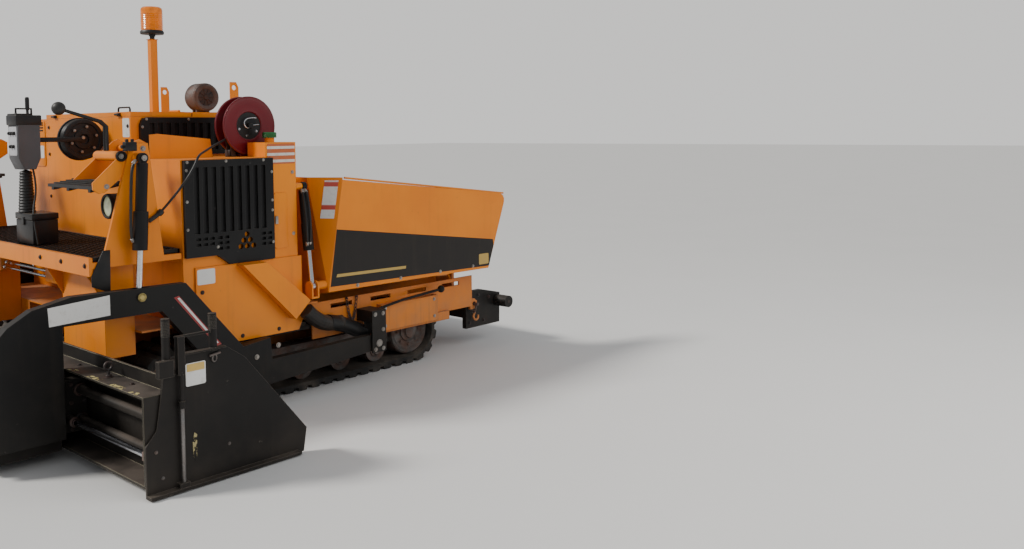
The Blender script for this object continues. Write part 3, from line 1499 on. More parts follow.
@dataclass
class OperatorStation:
    """Grating, console, cable drum, seat fittings, lamps and the rear manifold."""

    fitter: Fitter
    grating_low: Point = (-1.2897, -1.1297, 1.0042)
    grating_high: Point = (-0.7782, 1.1297, 1.0299)
    grating_rim: float = 0.014
    bar_step: float = 0.062
    bar_section: Flat = (0.0035, 0.018)
    bar_shortest: float = 0.03
    console_x: float = -1.215
    console_y: float = -0.105
    body_low: float = 1.480
    body_high: float = 1.810
    drum: Point = (-0.850, -0.096, 1.659)
    drum_r: float = 0.130
    lamp_at: Point = (-1.1251, 1.000, 1.290)
    lamp_back: float = -1.0548
    pipe_heights: tuple[float, ...] = (0.825, 0.855, 0.885, 0.915)

    def bar(self, start: Flat, end: Flat, height: float) -> Thing:
        """One flat bar of the grating.

        Args:
            start: One end in x and y.
            end: The other end.
            height: Z of the bar's middle.

        Returns:
            The bar.
        """
        (ax, ay), (bx, by) = start, end
        Bench.clear()
        bpy.ops.mesh.primitive_cube_add(size=1, location=((ax + bx) / 2, (ay + by) / 2, height),
                                        rotation=(0, 0, math.atan2(by - ay, bx - ax)))
        bar = bpy.context.object
        bar.scale = (math.hypot(bx - ax, by - ay), *self.bar_section)
        return bar

    def grating(self) -> None:
        """Diamond grating in its frame."""
        (x0, y0, z0), (x1, y1, z1) = self.grating_low, self.grating_high
        rim = self.grating_rim
        rims = [Bench.box(low, high, 0.002) for low, high in (
            ((x0, y0, z0), (x1, y0 + rim, z1)), ((x0, y1 - rim, z0), (x1, y1, z1)),
            ((x0, y0, z0), (x0 + rim, y1, z1)), ((x1 - rim, y0, z0), (x1, y1, z1)))]
        x0, x1, y0, y1 = x0 + rim / 2, x1 - rim / 2, y0 + rim / 2, y1 - rim / 2
        middle, width = (z0 + z1) / 2, x1 - x0
        bars = []
        for slope in (1, -1):
            offset, stop = (y0 - width, y1) if slope > 0 else (y0, y1 + width)
            while offset < stop:
                ends = []
                for t in (0.0, width):
                    y = offset + slope * t
                    held = min(max(y, y0), y1)
                    ends.append((x0 + (t + (held - y) / slope), held))
                if self.bar_shortest < ends[1][0] - ends[0][0]:
                    bars.append(self.bar(*ends, middle + slope * 0.0015))
                offset += self.bar_step
        self.fitter.fit("deck_grating_bars", BLACK, Slot.BLACK, *rims, *bars, replaces=["deck_grating"])

    def console(self) -> None:
        """Console body with its cap, handles and boot."""
        x, y, low, high = self.console_x, self.console_y, self.body_low, self.body_high
        shape = [(x - 0.035, low), (x + 0.035, low), (x + 0.065, low + 0.07), (x + 0.065, high - 0.055),
                 (x - 0.065, high - 0.055), (x - 0.065, low + 0.07)]
        body = Bench.side_plate([shape], y, 0.150)
        Bench.inset(body, lambda _, n: abs(n.z) > 0.9, 0.012, 0.004)
        Bench.bevel(body, 0.004, 2)
        self.fitter.fit("console_body", CONSOLE_GREY, Slot.PLASTIC, body, replaces=["console"])
        cap = Bench.box((x - 0.075, y - 0.078, high - 0.060), (x + 0.075, y + 0.078, high), 0.006)
        brow = Bench.box((x - 0.070, y - 0.070, high - 0.002), (x + 0.020, y + 0.070, high + 0.010), 0.004)
        handle = Bench.tube([(x - 0.045, y, high), (x - 0.045, y, high + 0.040), (x + 0.045, y, high + 0.040),
                             (x + 0.045, y, high)], 0.007, soft=False)
        grip = Bench.lathe([(0, 0), (0.008, 0), (0.008, 0.03), (0.012, 0.035), (0.012, 0.100), (0.009, 0.109),
                            (0, 0.109)], (x, y - 0.060, high), UP, 16)
        self.fitter.fit("console_cap", CONSOLE_BLACK, Slot.BLACK, cap, brow, handle, grip)
        ribs = [(0.046 + (0.004 if i % 2 else 0.0) - 0.0005 * i, 0.009 * i) for i in range(29)]
        boot = Bench.lathe([(0, 0), *ribs, (0, 0.2645)], (x, y, 1.2155), UP, 28)
        self.fitter.fit("console_boot", SOFT_BLACK, Slot.RUBBER, boot)

    def console_fittings(self) -> None:
        """The console's panel and knobs, the tool chest under it, and its lead."""
        x, y, low, high = self.console_x, self.console_y, self.body_low, self.body_high
        panel = Bench.rear_plate([Sticker.oblong(y - 0.060, low + 0.085, y + 0.060, high - 0.070, 0.008)],
                                 x - 0.0665, 0.003, 0.001)
        self.fitter.fit("console_panel", PALE_PANEL, Slot.PLASTIC, panel)
        knobs = [Bench.lathe([(0, 0), (0.011, 0), (0.010, 0.012), (0.007, 0.016), (0, 0.016)],
                             (x - 0.068, y + dy, z), BACK, 16)
                 for dy, z in ((-0.035, 1.70), (0.0, 1.70), (0.035, 1.70), (-0.02, 1.62), (0.02, 1.62))]
        self.fitter.fit("console_knobs", SOFT_BLACK, Slot.RUBBER, *knobs)
        chest = Bench.box((x - 0.035, y - 0.165, 1.0303), (x + 0.115, y + 0.085, 1.175), 0.004)
        lid = Bench.box((x - 0.039, y - 0.169, 1.177), (x + 0.119, y + 0.089, 1.2155), 0.005)
        hasp = Bench.box((x - 0.045, y - 0.055, 1.145), (x - 0.034, y - 0.025, 1.195), 0.002)
        self.fitter.fit("tool_chest", CONSOLE_BLACK, Slot.BLACK, chest, lid, hasp)
        lead = Bench.tube([(x + 0.02, y - 0.055, low + 0.01), (x + 0.03, y - 0.075, 1.40),
                           (x + 0.02, y - 0.085, 1.30), (x - 0.02, y - 0.125, 1.235),
                           (x - 0.03, y - 0.190, 1.13), (x - 0.02, y - 0.200, 1.034)], 0.006)
        self.fitter.fit("console_lead", HOSE_RUBBER, Slot.RUBBER, lead)

    def cable_drum(self) -> None:
        """Ribbed drum with its arm and bracket."""
        x, y, z = self.drum
        r = self.drum_r
        ribs = [(r - (0.004 if i % 2 else 0.0), -0.006 - 0.0075 * i) for i in range(13)]
        drum = Bench.lathe([(0, -0.012), (0.030, -0.012), (0.034, 0.002), (0.060, 0.002), (0.064, -0.010),
                            (0.100, -0.010), (0.106, -0.001), (r - 0.006, -0.001), *ribs, (0, -0.108)],
                           (x, y, z), RIGHTWARDS, 48)
        rim = Bench.lathe([(r - 0.01, 0.0), (r + 0.0075, 0.0), (r + 0.0075, 0.015), (r - 0.01, 0.015),
                           (r - 0.01, 0.0)], (x, y + 0.060, z), LEFTWARDS, 48)
        mount = Bench.box((x, y + 0.030, z - 0.050), (-0.7102, y + 0.090, z + 0.050), 0.004)
        arm = Bench.box((self.console_x + 0.0645, y - 0.016, z - 0.015), (x, y + 0.004, z + 0.015), 0.003)
        self.fitter.fit("cable_drum", CONSOLE_BLACK, Slot.BLACK, drum, rim, mount, arm)
        spots = [(x + 0.082 * math.cos(a), y - 0.009, z + 0.082 * math.sin(a))
                 for a in (0.3, 1.35, 2.4, 3.45, 4.5, 5.55)]
        bolts = Bench.bolts(spots, RIGHTWARDS, 0.0062)
        boss = Bench.rod((x - 0.01, y - 0.020, z + 0.01), (x - 0.01, y - 0.005, z + 0.01), 0.012, 6)
        self.fitter.fit("cable_drum_bolts", ZINC, Slot.STEEL, bolts, boss)

    def seat_fittings(self, side: Side) -> None:
        """Ringed tube end, pivot bolts and valve block of one seat.

        Args:
            side: The side that it is on.
        """
        out = side.out
        ring = Bench.lathe([(0, 0.003), (0.017, 0.003), (0.019, 0.012), (0.027, 0.012), (0.0295, 0.008),
                            (0.0295, -0.001)], side.at(-1.110, 1.1381, 1.570), out, 28)
        self.fitter.fit(f"seat_tube_end_{side.tag}", BLACK, Slot.BLACK, ring)
        bolts = [Bench.bolts([side.at(-1.110, 1.141, 1.570)], out, 0.010),
                 Bench.bolts([side.at(-1.030, 1.2431, 1.560), side.at(-0.990, 1.1502, 1.610)], out, 0.011),
                 Bench.bolts([side.at(-1.195, 1.1382, 1.408)], out, 0.010)]
        self.fitter.fit(f"seat_bolts_{side.tag}", ZINC, Slot.STEEL, *bolts)
        block = Bench.box(side.at(-1.108, 1.1515, 1.598), side.at(-1.045, 1.197, 1.648), 0.004)
        ports = [Bench.rod(side.at(x, 1.175, 1.640), side.at(x, 1.175, 1.664), 0.010, 6)
                 for x in (-1.093, -1.062)]
        nut = Bench.rod(side.at(-1.112, 1.174, 1.622), side.at(-1.126, 1.174, 1.622), 0.011, 6)
        self.fitter.fit(f"lift_valve_{side.tag}", CONSOLE_BLACK, Slot.BLACK, block, *ports, nut)

    def lamp(self, side: Side) -> None:
        """Lens, bezel and cooling fins of one work light.

        Args:
            side: The side that it is on.
        """
        x, y, z = self.lamp_at
        at = side.at(x, y, z)
        lens = Bench.lathe([(0, 0.009), (0.03, 0.008), (0.05, 0.004), (0.060, -0.001)], at, BACK, 32)
        self.fitter.fit(f"work_light_lens_{side.tag}", LAMP_GLASS, Slot.PLASTIC, lens)
        bezel = Bench.lathe([(0.056, 0.0), (0.058, 0.011), (0.068, 0.012), (0.0712, 0.004), (0.0712, -0.012),
                             (0.0695, -0.012)], at, BACK, 32)
        fins = [Bench.lathe([(0.02, 0), (0.062 - 0.008 * i, 0), (0.062 - 0.008 * i, 0.004), (0.02, 0.004)],
                            side.at(self.lamp_back + 0.009 * i, y, z), AHEAD, 28) for i in range(3)]
        self.fitter.fit(f"work_light_bezel_{side.tag}", BLACK, Slot.BLACK, bezel, *fins)

    def manifold(self) -> None:
        """Hydraulic manifold with bright pipes under the platform's rear."""
        blocks = [Bench.box((-1.185, y0, 0.80), (-1.105, y1, 0.94), 0.005)
                  for y0, y1 in ((-0.5399, -0.26), (0.44, 0.5399))]
        self.fitter.fit("manifold_block", DEEP_ORANGE, Slot.ORANGE, *blocks)
        pipes, nuts = [], []
        for i, z in enumerate(self.pipe_heights):
            x = -1.165 + 0.012 * i
            pipes.append(Bench.tube([(x, -0.262, z), (x, -0.20, z), (x - 0.02, -0.14, z + 0.008),
                                     (x - 0.02, 0.28, z + 0.008), (x, 0.36, z), (x, 0.442, z)], 0.008))
            nuts += [Bench.rod((x, -0.262, z), (x, -0.236, z), 0.0135, 6),
                     Bench.rod((x, 0.442, z), (x, 0.418, z), 0.0135, 6)]
        self.fitter.fit("manifold_pipes", CHROME, Slot.CHROME, *pipes, *nuts)

    def flap(self, side: Side) -> None:
        """Black rubber flap on the tower's lower end, and bolts of the platform's beam.

        Args:
            side: The side that it is on.
        """
        shape = [(-1.235, 1.065), (-1.275, 0.985), (-1.302, 0.93), (-1.300, 0.875), (-1.20, 0.83),
                 (-1.195, 1.065)]
        flap = Bench.side_plate([shape], side.value * 1.1545, 0.006, 0.002)
        self.fitter.fit(f"tower_flap_{side.tag}", SOFT_BLACK, Slot.RUBBER, flap)
        beam = Bench.bolts([(-1.3102, side.value * y, 0.985) for y in (1.10, 0.80, 0.52)], BACK, 0.010)
        self.fitter.fit(f"platform_bolts_{side.tag}", DARK_BOLTS, Slot.BLACK, beam)

    def build(self) -> None:
        """Makes all of it."""
        self.grating()
        self.console()
        self.console_fittings()
        self.cable_drum()
        self.manifold()
        for side in Side:
            self.seat_fittings(side)
            self.lamp(side)
            self.flap(side)


@dataclass
class HoseReel:
    """Red reel with rolled flanges, wound hose, hub, foot and hose guide."""

    fitter: Fitter
    centre: Point = (-0.165, -0.850, 1.735)
    radius: float = 0.1825
    half_width: float = 0.075
    back: float = 0.022
    turns: int = 18
    mouth_at: Point = (-0.290, -0.874, 1.664)
    mouth_axis: Point = (-0.74, -0.61, -0.22)

    def sides(self) -> None:
        """Rolled flanges on their foot and posts."""
        x, y, z = self.centre
        r, half = self.radius, self.half_width
        shape = [(0.086, -0.006), (0.092, 0.001), (0.100, 0.003), (0.130, 0.000), (0.160, 0.004),
                 (r - 0.010, 0.005), (r - 0.002, 0.010), (r + 0.004, 0.006), (r + 0.0045, -0.003),
                 (r, -0.008), (r - 0.008, -0.006), (0.120, -0.006), (0.086, -0.012), (0.086, -0.006)]
        flanges = [Bench.lathe(shape, (x, face, z), out, 64)
                   for face, out in ((y - half + 0.004, RIGHTWARDS), (y + self.back, LEFTWARDS))]
        foot = Bench.box((x - 0.060, y - half + 0.020, 1.5404), (x + 0.060, y + half - 0.020, 1.556), 0.004)
        post = [(x - 0.055, 1.55), (x + 0.055, 1.55), (x + 0.022, z + 0.01), (x - 0.022, z + 0.01)]
        posts = [Bench.side_plate([post], y + dy, 0.008, 0.002) for dy in (0.046, 0.054)]
        axle = Bench.rod((x, y + self.back - 0.004, z), (x, y + 0.070, z), 0.020, 20)
        self.fitter.fit("reel_flanges", REEL_RED, Slot.RED, *flanges, foot, *posts, axle,
                        replaces=["hose_reel"])

    def drum(self) -> None:
        """Wound hose and hub."""
        x, y, z = self.centre
        half = self.half_width
        wound = [(0.131 - (0.005 if i % 2 else 0.0),
                  -half + 0.012 + (half + self.back - 0.020) * i / self.turns) for i in range(self.turns + 1)]
        coil = Bench.lathe([(0.05, wound[0][1]), *wound, (0.05, wound[-1][1])], (x, y, z), LEFTWARDS, 48)
        self.fitter.fit("reel_wound_hose", HOSE_RUBBER, Slot.RUBBER, coil)
        hub = Bench.lathe([(0, 0.022), (0.014, 0.022), (0.018, 0.018), (0.020, -0.008), (0.080, -0.014),
                           (0.088, -0.016), (0.088, -0.03), (0, -0.03)], (x, y - half, z), RIGHTWARDS, 32)
        self.fitter.fit("reel_hub", CONSOLE_BLACK, Slot.BLACK, hub)

    def swivel(self) -> None:
        """Bright feed pipe, its stub and the bolts on the near flange."""
        x, y, z = self.centre
        face, seat = y - self.half_width - 0.014, y - self.half_width + 0.013
        pipe = Bench.tube([(x + 0.004, face, z - 0.004), (x - 0.016, face, z - 0.022),
                           (x - 0.044, face, z - 0.006), (x - 0.050, face, z + 0.026),
                           (x - 0.030, face, z + 0.048), (x + 0.008, face, z + 0.052),
                           (x + 0.040, face, z + 0.050)], 0.0036)
        stub = Bench.rod((x + 0.012, face, z + 0.004), (x + 0.058, face, z + 0.008), 0.0034, 10, 0)
        bolts = Bench.bolts([(x - 0.012, seat, z - 0.062), (x + 0.058, seat, z - 0.034),
                             (x - 0.066, seat, z - 0.02)], RIGHTWARDS, 0.0055)
        self.fitter.fit("reel_swivel", CHROME, Slot.CHROME, pipe, stub, bolts)

    def guide(self) -> None:
        """Mouth through which the hose leaves, between its cheeks."""
        x, y, _ = self.centre
        block = Bench.box((x - 0.118, y - 0.030, 1.5404), (x - 0.085, y + 0.030, 1.585), 0.004)
        mouth = Bench.lathe([(0.0078, -0.014), (0.014, -0.014), (0.019, 0.0), (0.014, 0.014),
                             (0.0078, 0.014), (0.0078, -0.014)], self.mouth_at, self.mouth_axis, 20)
        cheek = [(-0.281, 1.5404), (-0.252, 1.5404), (-0.268, 1.680), (-0.300, 1.680)]
        cheeks = [Bench.side_plate([cheek], side_y, 0.005, 0.001) for side_y in (-0.898, -0.850)]
        self.fitter.fit("reel_hose_guide", DARK_BOLTS, Slot.STEEL, block, mouth, *cheeks)

    def build(self) -> None:
        """Makes the reel."""
        self.sides()
        self.drum()
        self.swivel()
        self.guide()


@dataclass
class LiftGear:
    """Hoses and caps of the screed's lift cylinders."""

    fitter: Fitter
    lug: Flat = (-1.075, 0.800)
    y: float = 1.220

    def build(self) -> None:
        """Makes both sides."""
        for side in Side:
            barrel = f"lift_barrel_{side.tag}"
            route = [(-1.072, self.y, 1.545), (-1.098, self.y + 0.012, 1.520),
                     (-1.108, self.y + 0.016, 1.40), (-1.112, self.y + 0.014, 1.25),
                     (-1.112, self.y + 0.008, 1.14), (-1.100, self.y, 1.108)]
            hose = Bench.tube([side.at(*p) for p in route], 0.008)
            self.fitter.fit(f"lift_hose_{side.tag}", HOSE_RUBBER, Slot.RUBBER, hose, body=barrel)
            ends = [Bench.rod(side.at(*start), side.at(*end), 0.0105, 6) for start, end in (
                ((-1.068, self.y, 1.549), (-1.090, self.y + 0.008, 1.531)),
                ((-1.094, self.y, 1.102), (-1.108, self.y + 0.004, 1.124)))]
            self.fitter.fit(f"lift_hose_ends_{side.tag}", ZINC, Slot.STEEL, *ends, body=barrel)
            x, z = self.lug
            cap = Bench.lathe([(0, 0.005), (0.013, 0.005), (0.016, 0.0025), (0.020, 0.005), (0.0242, 0.003),
                               (0.0242, -0.001)], side.at(x, 1.2581, z), side.out, 32)
            self.fitter.fit(f"lift_pin_cap_{side.tag}", BRASS_CAP, Slot.STEEL, cap, body="screed")


@dataclass
class TowGear:
    """Plates on the tow arms, and bolts on their brackets and the side rails."""

    fitter: Fitter
    arm_face: float = 1.2502
    bracket_face: float = 1.2671
    rail_face: float = 1.1502
    arm_bolts: tuple[Flat, ...] = ((-0.362, 0.335), (-0.208, 0.381))
    bracket_bolts: tuple[Flat, ...] = ((0.552, 0.455), (0.62, 0.455), (0.62, 0.345), (0.552, 0.215),
                                       (0.62, 0.215))
    rail_bolts: tuple[Flat, ...] = ((0.74, 0.455), (1.21, 0.455), (0.74, 0.33), (1.21, 0.33))

    def build(self) -> None:
        """Makes both sides."""
        stick = Sticker(self.fitter)
        for side in Side:
            out = side.out
            stick.stick("arm_plate", "screed", side, [(-1.571, 0.812), (-1.566, 0.715), (-1.250, 0.728),
                                                      (-1.250, 0.836)],
                        self.arm_face, WHITE_PLATE, Slot.BLACK)
            stick.stick("arm_strip", "screed", side, [(-0.886, 0.771), (-0.628, 0.451), (-0.596, 0.457),
                                                      (-0.856, 0.778)],
                        self.arm_face, RED_STRIP, Slot.BLACK)
            stick.stick("arm_strip_pale", "screed", side, [(-0.866, 0.764), (-0.628, 0.466), (-0.616, 0.470),
                                                           (-0.853, 0.768)],
                        self.arm_face + stick.thickness, WHITE_PLATE, Slot.BLACK)
            arm = Bench.side_bolts(side, self.arm_face, self.arm_bolts, 0.011)
            self.fitter.fit(f"arm_bolts_{side.tag}", ZINC, Slot.STEEL, arm, body="screed")
            bracket = Bench.side_bolts(side, self.bracket_face, self.bracket_bolts, 0.010)
            pin = Bench.lathe([(0, 0.006), (0.02, 0.006), (0.026, 0.0), (0.026, -0.002)],
                              side.at(0.586, self.bracket_face, 0.255), out, 28)
            rail = Bench.side_bolts(side, self.rail_face, self.rail_bolts, 0.009)
            self.fitter.fit(f"bracket_bolts_{side.tag}", ZINC, Slot.STEEL, bracket, pin, rail)


@dataclass
class Screed:
    """Fittings of the screed, its walkway, extensions and end gates."""

    fitter: Fitter
    guide_x: float = -1.395
    guide_z: tuple[float, float] = (0.350, 0.190)
    cylinder: Flat = (-1.455, 0.200)
    block_y: float = 1.186
    block_bolts: tuple[Flat, ...] = ((-1.372, 0.285), (-1.442, 0.285), (-1.442, 0.385), (-1.442, 0.145))
    gate_y: float = 2.0601
    gate_nuts: tuple[Flat, ...] = ((-1.40, 0.085), (-1.43, 0.215), (-1.05, 0.16))
    thread_step: float = 0.0035

    def collars(self, side: Side) -> None:
        """Rings round the guide tubes and the cylinder where they leave their block.

        Args:
            side: The side that it is on.
        """
        out = side.out
        rings = [Bench.lathe([(0.0247, -0.001), (0.036, -0.001), (0.036, 0.010), (0.032, 0.014),
                              (0.0247, 0.014), (0.0247, -0.001)],
                             side.at(self.guide_x, self.block_y, z), out, 32) for z in self.guide_z]
        rings.append(Bench.lathe([(0.0172, -0.001), (0.027, -0.001), (0.027, 0.008), (0.022, 0.011),
                                  (0.0172, 0.011), (0.0172, -0.001)],
                                 side.at(self.cylinder[0], self.block_y + 0.06, self.cylinder[1]), out, 28))
        bolts = Bench.side_bolts(side, self.block_y, self.block_bolts, 0.008)
        self.fitter.fit(f"guide_collars_{side.tag}", DARK_BOLTS, Slot.SCREED, *rings, bolts, body="screed")

    def rear(self) -> None:
        """Ribs on the screed's rear, the walkway's tread, and bolts on the screed's top."""
        ribs = [Bench.box((-1.8835, y - 0.006, 0.12), (-1.879, y + 0.006, 0.27), 0.0015)
                for y in (-1.08, -0.72, -0.36, 0.0, 0.36, 0.72, 1.08)]
        self.fitter.fit("screed_ribs", SCREED_BLACK, Slot.SCREED, *ribs, body="screed")
        knob = Bench.lathe([(0.004, 0), (0.010, 0), (0.0085, 0.0022), (0.004, 0.0022)], (0, 0, 0), UP, 10)
        spots = [Matrix.Translation((x, -0.975 + 0.05 * i + (0.025 if n % 2 else 0.0), 0.3399))
                 for n, x in enumerate((-2.035, -1.995, -1.955, -1.915)) for i in range(39)]
        tread = Bench.copies(knob, spots)
        self.fitter.fit("walkway_tread", SCREED_BLACK, Slot.SCREED, tread, body="screed")
        top = [(x, y, 0.4801) for x in (-1.55, -1.78) for y in (-1.0, -0.6, -0.2, 0.2, 0.6, 1.0)]
        bolts = Bench.bolts(top, UP, 0.011)
        self.fitter.fit("screed_top_bolts", DARK_BOLTS, Slot.STEEL, bolts, body="screed")

    def extension(self, side: Side) -> None:
        """Eye bolt, rod end, edge marks and bolts of one extension.

        Args:
            side: The side that it is on.
        """
        body = f"extension_{side.tag}"
        stem = Bench.rod(side.at(-1.412, 1.560, 0.480), side.at(-1.412, 1.560, 0.520), 0.008, 12)
        ring = Bench.ring(0.019, 0.0065, (24, 10), side.at(-1.412, 1.560, 0.537), (math.pi / 2, 0, 0))
        eye = Bench.join(stem, ring)
        nut = Bench.bolts([side.at(-1.412, 1.560, 0.4802)], UP, 0.016)
        self.fitter.fit(f"extension_eye_{side.tag}", DARK_BOLTS, Slot.STEEL, eye, nut, body=body)
        clevis = Bench.box(side.at(-1.478, 2.014, 0.178), side.at(-1.434, 2.0398, 0.222), 0.004)
        washer = Bench.bolts([side.at(-1.456, 2.027, 0.2222)], UP, 0.011)
        self.fitter.fit(f"extension_rod_end_{side.tag}", WORN_STEEL, Slot.STEEL, clevis, washer, body=body)
        marks = [[(-1.478, y0), (-1.452, y0 + 0.01), (-1.450, y1 - 0.02), (-1.476, y1)]
                 for y0, y1 in ((0.98, 1.14), (1.24, 1.33), (1.46, 1.60), (1.70, 1.84), (1.90, 1.98))]
        edge = [Bench.plate([[(x, side.value * y) for x, y in mark]], (0, 0, 0.4806), AHEAD, LEFTWARDS,
                            0.0008) for mark in marks]
        self.fitter.fit(f"extension_edge_marks_{side.tag}", YELLOW_EDGE, Slot.SCREED, *edge, body=body)
        top = [side.at(x, y, 0.4802) for x, y in ((-1.40, 0.86), (-1.40, 1.20), (-1.40, 1.78))]
        strike = [side.at(-1.3418, y, 0.50) for y in (1.40, 1.62, 1.84)]
        bolts = [Bench.bolts(top, UP, 0.0095), Bench.bolts(strike, AHEAD, 0.010)]
        self.fitter.fit(f"extension_bolts_{side.tag}", DARK_BOLTS, Slot.STEEL, *bolts, body=body)

    def gate(self, side: Side) -> None:
        """Plates, chalk mark, pin clip, rod sleeve and threads of one end gate.

        Args:
            side: The side that it is on.
        """
        body = f"extension_{side.tag}"
        stick = Sticker(self.fitter)
        stick.stick("gate_plate", body, side, Sticker.oblong(-1.272, 0.490, -1.168, 0.600), self.gate_y,
                    WHITE_PLATE, Slot.BLACK)
        stick.stick("gate_plate_head", body, side, Sticker.oblong(-1.266, 0.560, -1.174, 0.596, 0.002),
                    self.gate_y + stick.thickness, YELLOW_PLATE, Slot.BLACK)
        stick.stick("gate_mark", body, side, [(-1.243, 0.115), (-1.226, 0.12), (-1.222, 0.25),
                                              (-1.236, 0.262), (-1.246, 0.22)],
                    self.gate_y, YELLOW_MARK, Slot.BLACK)
        ring = Bench.ring(0.016, 0.004, (20, 8), side.at(-1.122, 2.066, 0.602), (math.pi / 2, 0, 0.4))
        pin = Bench.rod(side.at(-1.150, 2.070, 0.618), side.at(-1.092, 2.070, 0.626), 0.006, 12)
        nuts = Bench.side_bolts(side, self.gate_y, self.gate_nuts, 0.006)
        self.fitter.fit(f"gate_fittings_{side.tag}", WORN_STEEL, Slot.STEEL, ring, pin, nuts, body=body)
        rod = Bench.lathe([(0.0092, 0), (0.0098, 0.001), (0.0098, 0.354), (0.0092, 0.355)],
                          side.at(-1.306, 2.082, 0.0445), UP, 16)
        self.fitter.fit(f"gate_rod_sleeve_{side.tag}", GREY_ROD, Slot.STEEL, rod, body=body)
        threads = []
        for x, low, high in ((-1.365, 0.745, 0.828), (-1.122, 0.745, 0.818)):
            turns = int((high - low) / self.thread_step)
            ridges = [(0.0212 if i % 2 else 0.0190, self.thread_step * i) for i in range(turns)]
            threads.append(Bench.lathe([(0.012, 0), *ridges, (0.012, ridges[-1][1])],
                                       side.at(x, 2.054, low), UP, 24))
        self.fitter.fit(f"gate_threads_{side.tag}", SCREED_BLACK, Slot.SCREED, *threads, body=body)

    def build(self) -> None:
        """Makes all of it."""
        self.rear()
        for side in Side:
            self.collars(side)
            self.extension(side)
            self.gate(side)


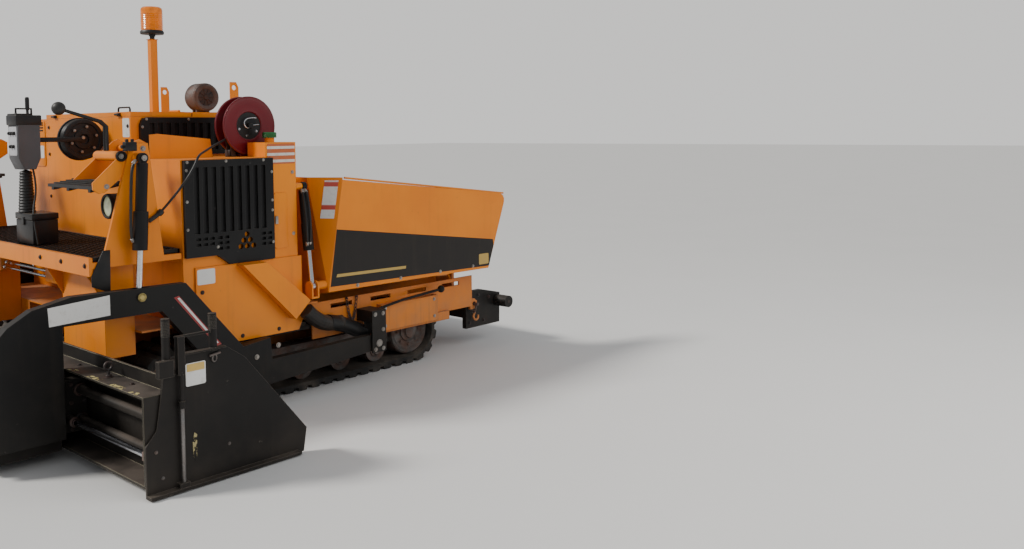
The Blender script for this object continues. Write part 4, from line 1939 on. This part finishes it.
@dataclass
class Front:
    """Caps of the push rollers, bolts of their beam, shackle, hook and chain."""

    fitter: Fitter
    roller: Flat = (2.014, 0.322)
    roller_end: float = 1.1655
    arm_face: float = 1.0322
    lug: Point = (1.702, 1.072, 0.341)
    arm_bolts: tuple[Flat, ...] = ((1.70, 0.39), (1.80, 0.39), (1.70, 0.18), (1.86, 0.18), (1.92, 0.36))
    chain_ends: Flat = (0.435, 0.520)
    chain_y: float = -1.112
    chain_top: float = 0.560
    chain_sag: float = 0.150
    chain_links: int = 20

    def rollers(self, side: Side) -> None:
        """End cap of one roller, and bolts on its arm.

        Args:
            side: The side that it is on.
        """
        x, z = self.roller
        cap = Bench.lathe([(0, 0.002), (0.012, 0.002), (0.016, -0.006), (0.034, -0.006), (0.038, 0.0),
                           (0.0455, -0.002), (0.0455, -0.006)],
                          side.at(x, self.roller_end, z), side.out, 32)
        self.fitter.fit(f"push_roller_cap_{side.tag}", DARK_BOLTS, Slot.BLACK, cap,
                        body=f"push_roller_{side.tag}")
        bolts = Bench.side_bolts(side, self.arm_face, self.arm_bolts, 0.011)
        self.fitter.fit(f"push_arm_bolts_{side.tag}", DARK_BOLTS, Slot.BLACK, bolts)

    def shackle(self) -> None:
        """Shackle with its hook on the near lug."""
        x, y, z = self.lug
        bow = [(x, -y - 0.026, z + 0.002), (x, -y - 0.030, z - 0.03), (x, -y - 0.022, z - 0.062),
               (x, -y, z - 0.072), (x, -y + 0.022, z - 0.062), (x, -y + 0.030, z - 0.03),
               (x, -y + 0.026, z + 0.002)]
        parts = [Bench.tube(bow, 0.008), Bench.rod((x, -y - 0.042, z), (x, -y + 0.040, z), 0.010, 14),
                 Bench.rod((x, -y - 0.052, z), (x, -y - 0.040, z), 0.014, 6)]
        self.fitter.fit("tie_down_shackle", RUSTY, Slot.RUST, *parts)
        hook = [(x + 0.016, -y, z - 0.056), (x + 0.020, -y, z - 0.070), (x + 0.004, -y, z - 0.086),
                (x - 0.002, -y, z - 0.105), (x + 0.014, -y, z - 0.132), (x + 0.040, -y, z - 0.136),
                (x + 0.056, -y, z - 0.116), (x + 0.052, -y, z - 0.098)]
        self.fitter.fit("tie_down_hook", DEEP_ORANGE, Slot.ORANGE, Bench.tube(hook, 0.0085))

    def chain(self) -> None:
        """Short chain that hangs in a bow on the near side frame."""
        links = []
        start, end = self.chain_ends
        for i in range(self.chain_links):
            t = i / (self.chain_links - 1)
            x = start + (end - start) * t
            z = self.chain_top - self.chain_sag * (1 - (2 * t - 1) ** 2)
            slope = math.atan2(self.chain_sag * 4 * (2 * t - 1), end - start)
            link = Bench.ring(0.0095, 0.0028, (14, 6))
            link.scale = (1.5, 1.0, 1.0)
            bpy.ops.object.transform_apply(scale=True, location=False, rotation=False)
            link.matrix_world = (Matrix.Translation((x, self.chain_y, z)) @ Matrix.Rotation(-slope, 4, "Y")
                                 @ Matrix.Rotation(math.pi / 2 if i % 2 else 0.0, 4, "X"))
            links.append(link)
        pegs = [Bench.rod((x, -1.099, 0.565), (x, -1.122, 0.565), 0.006, 10) for x in self.chain_ends]
        self.fitter.fit("frame_chain", RUSTY, Slot.RUST, *links, *pegs)

    def build(self) -> None:
        """Makes all of it."""
        for side in Side:
            self.rollers(side)
        self.shackle()
        self.chain()


@dataclass
class Dressing:
    """Finishes of the CAD nodes that stay."""

    fitter: Fitter
    finishes: dict[str, Finish] = field(default_factory=lambda: {
        "chassis_frame": DEEP_ORANGE, "hopper_floor": HOPPER_STEEL, "conveyor": BLACK, "hood": ORANGE,
        "hood_lid": ORANGE, "side_pods": ORANGE, "side_grilles": GRILLE_BLACK, "engine": ENGINE_IRON,
        "tank": ORANGE, "side_skirts": ORANGE, "hose_duct": DUCT, "platform": ORANGE, "seats": SOFT_BLACK,
        "mast": ORANGE, "muffler": RUSTY, "work_lights": BLACK, "push_beam": BLACK,
        "track_rollers": WORN_STEEL, "tow_brackets": BLACK, "tow_arms": BLACK, "screed": SCREED_BLACK,
        "walkway": SCREED_BLACK})
    paired: dict[str, Finish] = field(default_factory=lambda: {
        "auger": WORN_STEEL, "push_roller": BLACK, "wing": WING_ORANGE, "wing_barrel": BLACK,
        "wing_rod": CHROME, "lift_barrel": BLACK, "lift_rod": CHROME, "extension": EXTENSION_BLACK,
        "end_gate": GATE_BLACK})

    def build(self) -> None:
        """Dresses every node that no piece stands for."""
        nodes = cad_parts
        wanted = dict(self.finishes)
        wanted.update({f"{name}_{side.tag}": finish for name, finish in self.paired.items() for side in Side})
        for name, finish in wanted.items():
            self.fitter.palette.dress(nodes[name], finish)
        replaced = {"track_right", "track_left", "deck_grating", "console", "beacon", "hose_reel",
                    "wash_hose", "wash_wand"}
        missed = set(nodes) - set(wanted) - replaced
        LOG.info("nodes dressed: %d, without finish: %s", len(wanted), sorted(missed))


def main() -> None:
    """Builds the scene, part by part."""
    logging.basicConfig(level=logging.INFO, format="%(name)s: %(message)s")
    fitter = Fitter(Palette())
    Studio().build()
    WashHose(fitter).build()
    for part in (Undercarriage, Hopper, EngineHouse, Tank, OperatorStation, HoseReel, LiftGear, TowGear,
                 Screed, Front, Dressing):
        part(fitter).build()
    LOG.info("pieces made: %d", fitter.count)


if __name__ == "__main__":
    main()
